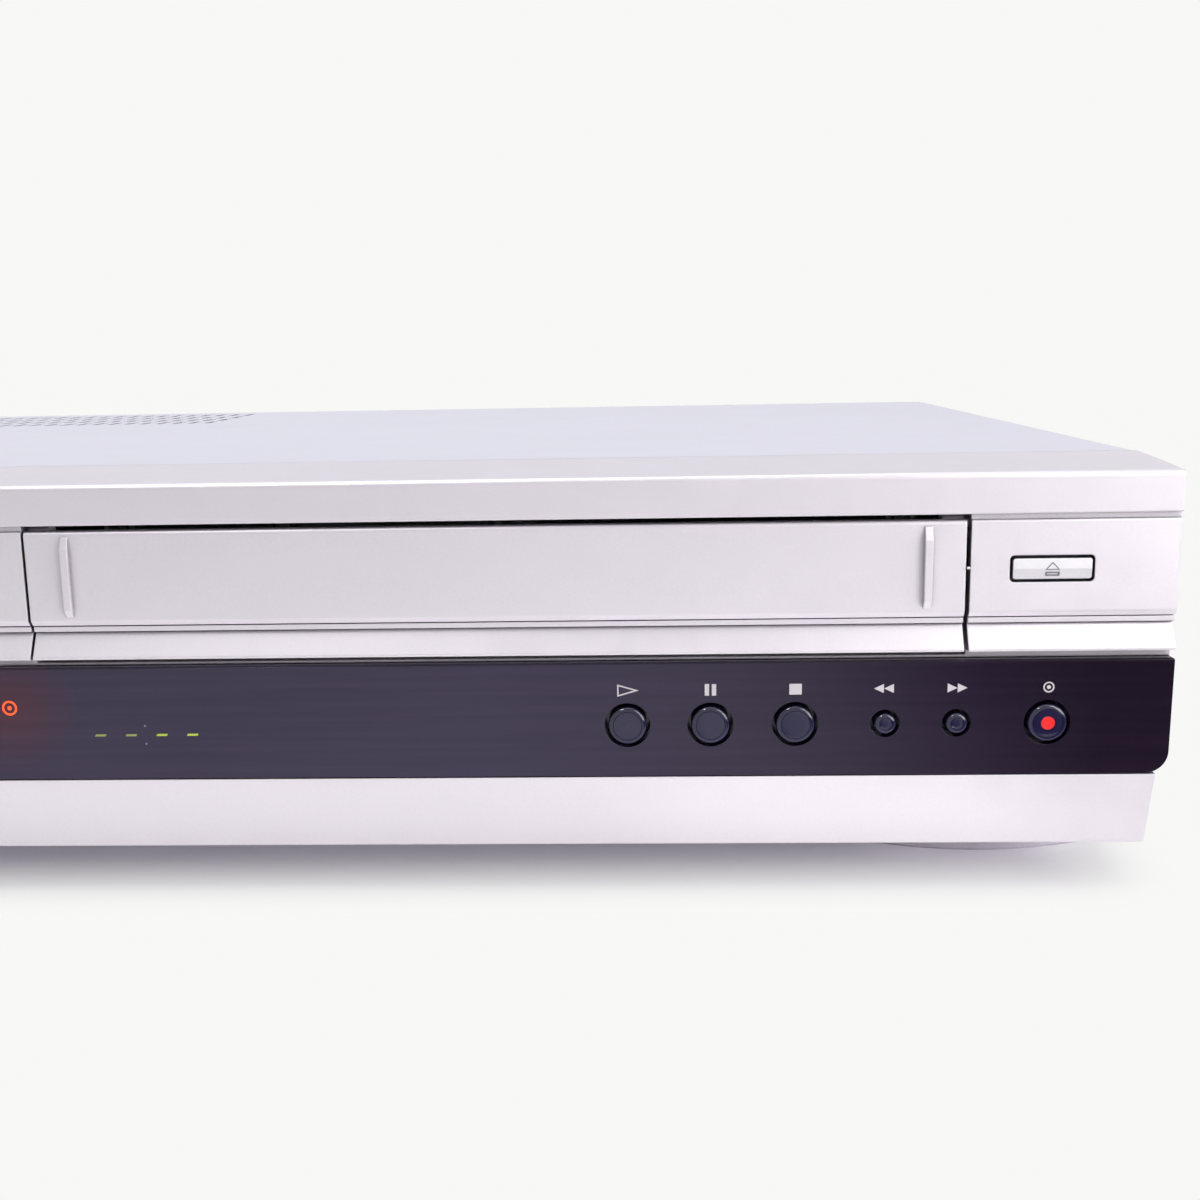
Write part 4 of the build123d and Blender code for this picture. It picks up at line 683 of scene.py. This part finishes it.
def bottom_skirt():
    """The skin of the bottom strip, with its rolled lower edge."""
    low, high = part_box("front_bezel")
    front = low.y / mm
    side = high.x / mm - skirt_side
    foot = side - skirt_taper
    profile = [(skirt_front + skirt_wall, skirt_top, side), (skirt_front, skirt_top, side)]
    for i in range(roll_steps + 1):
        turn = pi / 2 * i / roll_steps
        drawn_in = skirt_roll * (1 - cos(turn))
        lift = skirt_roll * (1 - sin(turn))
        profile.append((skirt_foot + drawn_in, skirt_bottom + lift, foot - drawn_in))
    profile.append((skirt_back, skirt_bottom, foot - skirt_roll))
    profile.append((skirt_back, skirt_bottom + skirt_rise, foot - skirt_roll))
    profile.append((skirt_foot + skirt_wall, skirt_bottom + skirt_wall_rise, foot))
    bm = bmesh.new()
    ends = []
    for way in (-1, 1):
        points = [(way * reach, front + y, z) for y, z, reach in profile]
        ends.append([bm.verts.new(Vector(point) * mm) for point in points])
    count = len(profile)
    for i in range(count):
        j = (i + 1) % count
        bm.faces.new((ends[0][i], ends[0][j], ends[1][j], ends[1][i]))
    for end in ends:
        bm.faces.new(end)
    return add_piece("bottom_skirt", bm, finishes["silver_plastic"], "case")


bottom_skirt()

stud_x, stud_z = 169.0, 76.0
stud_back = 0.8                          # behind the door's front
stud_profile = ((0.0, 0.0), (0.26, 0.05), (0.4, 0.22), (0.42, 0.7))   # radius, y


def door_stud():
    """The bright head of the pin in the gap beside the cassette door."""
    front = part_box("cassette_door")[0].y / mm + stud_back
    bm = bmesh.new()
    lathe(bm, [(radius, front + y) for radius, y in stud_profile], stud_x, stud_z, 16)
    return add_piece("door_stud", bm, nickel, "case")


door_stud()


# ------------------------------------------------------------------ sockets
sleeve_r = 4.15
bore_r = 1.6
face_rise, rim_rise = 0.12, 0.16         # of the coloured face and the shell's rim, past the sleeve
shell_wall, shell_edge = 0.65, 0.1
shell_skin = 0.03                        # shell past the sleeve
shell_length = 5.0
front_first, front_pitch, front_z = 6.0, 15.0, 41.0   # the first is from the group's left end
front_way, rear_way = -0.3, 1.0          # the front ones face forward and are shallower
rear_first, rear_pitch, rear_columns = -160.0, 15.6, 7
rear_rows = (34.0, 52.0)
front_colours = ["yellow", "white", "red"]
rear_colours = ["yellow", "white", "red", "yellow", "white", "red", "orange",
                "green", "blue", "red", "yellow", "white", "red", "white"]


def socket_rings(name, places, front, way, colours):
    """A coloured face and a nickel shell on each sleeve. They face along Y, scaled by way."""
    face = [(bore_r + 0.05, 0.05), (bore_r + 0.25, face_rise), (sleeve_r - shell_wall, face_rise),
            (sleeve_r - shell_wall + 0.05, 0.0)]
    shell = [(sleeve_r - shell_wall + 0.05, 0.0), (sleeve_r - shell_wall + 0.1, rim_rise),
             (sleeve_r - shell_edge, rim_rise), (sleeve_r + shell_skin, 0.02),
             (sleeve_r + shell_skin, -shell_length)]
    by_colour = {}
    shells = bmesh.new()
    for (x, z), colour in zip(places, colours):
        if colour not in by_colour:
            by_colour[colour] = bmesh.new()
        lathe(by_colour[colour], [(radius, front + y * way) for radius, y in face], x, z, 40)
        lathe(shells, [(radius, front + y * way) for radius, y in shell], x, z, 48)
    for colour, bm in by_colour.items():
        add_piece(f"{name}_{colour}_rings", bm, ring_colours[colour], "case")
    add_piece(f"{name}_shells", shells, nickel, "case")


front_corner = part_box("front_sockets")[0] / mm
front_places = [(front_corner.x + front_first + front_pitch * i, front_z) for i in range(3)]
socket_rings("front", front_places, front_corner.y, front_way, front_colours)

rear_places = [(rear_first + rear_pitch * i, z) for z in rear_rows for i in range(rear_columns)]
socket_rings("rear", rear_places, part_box("rear_sockets")[1].y / mm, rear_way, rear_colours)

antenna_places = ((180.0, 46.0), (196.0, 46.0))
antenna_bore, antenna_edge = 1.3, 4.3
thread_r, thread_crest = 4.72, 4.9
thread_start, thread_pitch, thread_turns = 0.8, 0.75, 8
thread_fall = 0.36                       # from a crest to the root behind it
end_skin = 0.1                           # nickel past the socket's end


def antenna_threads():
    """Nickel threads on the two antenna sockets."""
    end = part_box("tuner_can")[1].y / mm
    profile = [(antenna_bore, end + end_skin), (antenna_edge, end + end_skin)]
    profile.append((thread_r, end - thread_start / 2))
    for i in range(thread_turns):
        y = end - thread_start - thread_pitch * i
        profile += [(thread_crest, y), (thread_r, y - thread_fall)]
    bm = bmesh.new()
    for x, z in antenna_places:
        lathe(bm, profile, x, z, 48)
    add_piece("antenna_threads", bm, nickel, "case", 60.0)


antenna_threads()

frame_sides = ((-176.0, -50.0), (166.0, 210.0))    # left and right of each outline on the rear
frame_z, frame_height, frame_line = 46.0, 50.0, 0.4
frame_lift = 0.01                        # clear of the panel's paint


def panel_frames():
    """Plain printed outlines round the groups of rear sockets."""
    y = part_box("rear_panel")[1].y / mm + frame_lift
    bm = bmesh.new()
    for left, right in frame_sides:
        outer = rectangle(right - left, frame_height, (left + right) / 2, frame_z)
        prism(bm, outer, y, print_thickness, (0, 0), inset(outer, frame_line))
    add_piece("panel_frames", bm, pale_ink, "case")


panel_frames()

# ------------------------------------------------------------------ floor, light, camera
background = tone(248, 248, 246)
table_white = tone(248, 248, 248)
shadow_tint = tone(238, 228, 255)
shadow_lift = 0.10                       # least light of the table where it is seen
shadow_inset = 0.025                     # metres inside the case's outline, where its shadow pales
shadow_reach = (0.0, 0.037)              # metres from there, over which the table turns white
cast_color, cast_strength = (0.93, 0.95, 1.0), 0.09   # the world's light on the object
seen_strength = 1.0
table_outline = [(-4, -3), (4, -3), (4, 4), (-4, 4)]
card_z = 0.001
card_outline = [(-0.3, -0.40), (0.7, -0.40), (0.7, -0.15), (0.2, -0.15), (0.12, -0.235), (-0.3, -0.235)]
card_fade = (0.10, 0.24)                 # X over which the card turns from white to black
glow_y, glow_z, glow_width = -0.17, 0.003, 0.05
glow_aim = 1.0
camera_place = (0.098055, -0.41507, 0.12688)
camera_turns = (-0.03739, 0.19825, -0.01822)          # yaw, pitch and roll, in radians
camera_lens, camera_sensor = 38.82, 36.0              # mm
camera_near = 0.01


def sheet(name, outline, z, material):
    """A flat sheet of the stage, from its outline in metres."""
    bm = bmesh.new()
    bm.faces.new([bm.verts.new((x, y, z)) for x, y in outline])
    mesh = bpy.data.meshes.new(name)
    bm.to_mesh(mesh)
    bm.free()
    flat = bpy.data.objects.new(name, mesh)
    bpy.context.scene.collection.objects.link(flat)
    mesh.materials.append(material)
    return flat


def stage():
    """A pale table that keeps the shadow."""
    table = sheet("table", table_outline, 0, table_top())


def table_top():
    """White where it is seen, with the shadow near the case and the surround's white further off."""
    made = bpy.data.materials.new("table")
    made.use_nodes = True
    tree = made.node_tree
    tree.nodes.clear()
    new, link = tree.nodes.new, tree.links.new
    diffuse, lift, far = new("ShaderNodeBsdfDiffuse"), new("ShaderNodeEmission"), new("ShaderNodeEmission")
    diffuse.inputs["Color"].default_value = (*table_white, 1)
    lift.inputs["Color"].default_value = (*shadow_tint, 1)
    far.inputs["Color"].default_value = (*background, 1)
    path = new("ShaderNodeLightPath")
    seen = new("ShaderNodeMath")
    seen.operation = "MAXIMUM"
    link(path.outputs["Is Camera Ray"], seen.inputs[0])
    link(path.outputs["Is Glossy Ray"], seen.inputs[1])
    level = new("ShaderNodeMath")
    level.operation = "MULTIPLY"
    level.inputs[1].default_value = shadow_lift
    link(seen.outputs[0], level.inputs[0])
    link(level.outputs[0], lift.inputs["Strength"])
    place, fade = new("ShaderNodeTexCoord"), new("ShaderNodeMapRange")
    steps = [new("ShaderNodeVectorMath") for _ in range(4)]
    for step, operation in zip(steps, ("ABSOLUTE", "SUBTRACT", "MAXIMUM", "LENGTH")):
        step.operation = operation
    steps[1].inputs[1].default_value = cad_box[1] - Vector((1, 1, 0)) * shadow_inset
    steps[2].inputs[1].default_value = (0, 0, 0)
    link(place.outputs["Object"], steps[0].inputs[0])
    for step, following in zip(steps, steps[1:]):
        link(step.outputs["Vector"], following.inputs[0])
    link(steps[3].outputs["Value"], fade.inputs["Value"])
    fade.interpolation_type = "SMOOTHSTEP"
    fade.inputs["From Min"].default_value, fade.inputs["From Max"].default_value = shadow_reach
    share = new("ShaderNodeMath")
    share.operation = "MULTIPLY"
    link(fade.outputs["Result"], share.inputs[0])
    link(seen.outputs[0], share.inputs[1])
    near, mix = new("ShaderNodeAddShader"), new("ShaderNodeMixShader")
    output = new("ShaderNodeOutputMaterial")
    link(diffuse.outputs[0], near.inputs[0])
    link(lift.outputs[0], near.inputs[1])
    link(share.outputs[0], mix.inputs[0])
    link(near.outputs[0], mix.inputs[1])
    link(far.outputs[0], mix.inputs[2])
    link(mix.outputs[0], output.inputs["Surface"])
    return made


def card_shade():
    """White light at the left, which hides the card, and none at the right."""
    made = bpy.data.materials.new("dark_card")
    made.use_nodes = True
    tree = made.node_tree
    tree.nodes.clear()
    new, link = tree.nodes.new, tree.links.new
    place, split, fade = new("ShaderNodeTexCoord"), new("ShaderNodeSeparateXYZ"), new("ShaderNodeMapRange")
    glow, output = new("ShaderNodeEmission"), new("ShaderNodeOutputMaterial")
    link(place.outputs["Object"], split.inputs[0])
    link(split.outputs["X"], fade.inputs["Value"])
    fade.interpolation_type = "SMOOTHSTEP"
    fade.inputs["From Min"].default_value, fade.inputs["From Max"].default_value = card_fade
    fade.inputs["To Min"].default_value, fade.inputs["To Max"].default_value = 1.0, 0.0
    link(fade.outputs["Result"], glow.inputs["Strength"])
    link(glow.outputs[0], output.inputs["Surface"])
    return made


def dark_card():
    """A dark card on the table in front, which only glossy surfaces see."""
    card = sheet("dark_card", card_outline, card_z, card_shade())
    for way in ("camera", "diffuse", "transmission", "volume_scatter", "shadow"):
        setattr(card, "visible_" + way, False)


def surround():
    """The world: near white where it is seen, and a softer, cooler light on the object."""
    world = bpy.data.worlds.new("surround")
    bpy.context.scene.world = world
    world.use_nodes = True
    tree = world.node_tree
    tree.nodes.clear()
    new = tree.nodes.new
    output = new("ShaderNodeOutputWorld")
    seen_light, cast_light = new("ShaderNodeBackground"), new("ShaderNodeBackground")
    path, mix = new("ShaderNodeLightPath"), new("ShaderNodeMixShader")
    either, all_seen = new("ShaderNodeMath"), new("ShaderNodeMath")
    either.operation = all_seen.operation = "MAXIMUM"
    seen_light.inputs["Color"].default_value = (*background, 1)
    seen_light.inputs["Strength"].default_value = seen_strength
    cast_light.inputs["Color"].default_value = (*cast_color, 1)
    cast_light.inputs["Strength"].default_value = cast_strength
    tree.links.new(path.outputs["Is Camera Ray"], either.inputs[0])
    tree.links.new(path.outputs["Is Glossy Ray"], either.inputs[1])
    tree.links.new(either.outputs[0], all_seen.inputs[0])
    tree.links.new(path.outputs["Is Transmission Ray"], all_seen.inputs[1])
    tree.links.new(all_seen.outputs[0], mix.inputs[0])
    tree.links.new(cast_light.outputs[0], mix.inputs[1])
    tree.links.new(seen_light.outputs[0], mix.inputs[2])
    tree.links.new(mix.outputs[0], output.inputs["Surface"])


def soft_light(name, place, aim, size, power, color=(1, 1, 1)):
    """A lamp with its place, aim and size in metres and its power in watts."""
    data = bpy.data.lights.new(name, "AREA")
    data.shape = "RECTANGLE"
    data.size, data.size_y = size
    data.energy = power
    data.color = color
    lamp = bpy.data.objects.new(name, data)
    bpy.context.scene.collection.objects.link(lamp)
    lamp.location = place
    lamp.rotation_euler = (Vector(aim) - Vector(place)).to_track_quat("-Z", "Y").to_euler()
    return lamp


def floor_glow(name, x, length, power):
    """Light off the white table in front, which the picture itself doesn't show."""
    lamp = soft_light(name, (x, glow_y, glow_z), (x, glow_y, glow_aim), (length, glow_width), power)
    lamp.visible_camera = lamp.visible_glossy = False


def camera():
    """The camera, from the fit to the photograph."""
    yaw, pitch, roll = camera_turns
    ahead = Vector((sin(yaw) * cos(pitch), cos(yaw) * cos(pitch), -sin(pitch)))
    right = Vector((cos(yaw), -sin(yaw), 0))
    up = right.cross(ahead)
    rolled_right = cos(roll) * right + sin(roll) * up
    rolled_up = cos(roll) * up - sin(roll) * right
    data = bpy.data.cameras.new("camera")
    data.sensor_width = camera_sensor
    data.lens = camera_lens
    data.clip_start = camera_near
    view = bpy.data.objects.new("camera", data)
    bpy.context.scene.collection.objects.link(view)
    turn = Matrix((rolled_right, rolled_up, -ahead)).transposed().to_4x4()
    view.matrix_world = Matrix.Translation(camera_place) @ turn
    bpy.context.scene.camera = view


stage()
dark_card()
surround()
soft_light("side_key", (0.52, -0.30, 0.16), (0.20, -0.13, 0.08), (0.2, 0.2), 0.6, (1.0, 0.98, 0.985))
soft_light("front_key", (0.70, -0.70, 0.20), (0.18, -0.13, 0.07), (0.3, 0.3), 2.3, (1.0, 0.98, 0.985))
soft_light("overhead", (-0.1, 0.12, 1.3), (-0.1, 0.12, 0.0), (1.4, 1.2), 13.0, (0.91, 0.925, 1.0))
floor_glow("left_bounce", -0.08, 0.35, 0.105)
floor_glow("right_bounce", 0.17, 0.14, 0.055)
# two lamps that only make highlights
glint = soft_light("glint", (-0.25, -0.50, 0.85), (0.1, -0.13, 0.05), (0.16, 0.16), 3.0)
sheen = soft_light("sheen", (0.44, -0.40, 0.36), (0.18, -0.13, 0.07), (0.25, 0.25), 1.2)
glint.visible_diffuse = sheen.visible_diffuse = False
camera()
bpy.context.scene.view_settings.view_transform = "Standard"
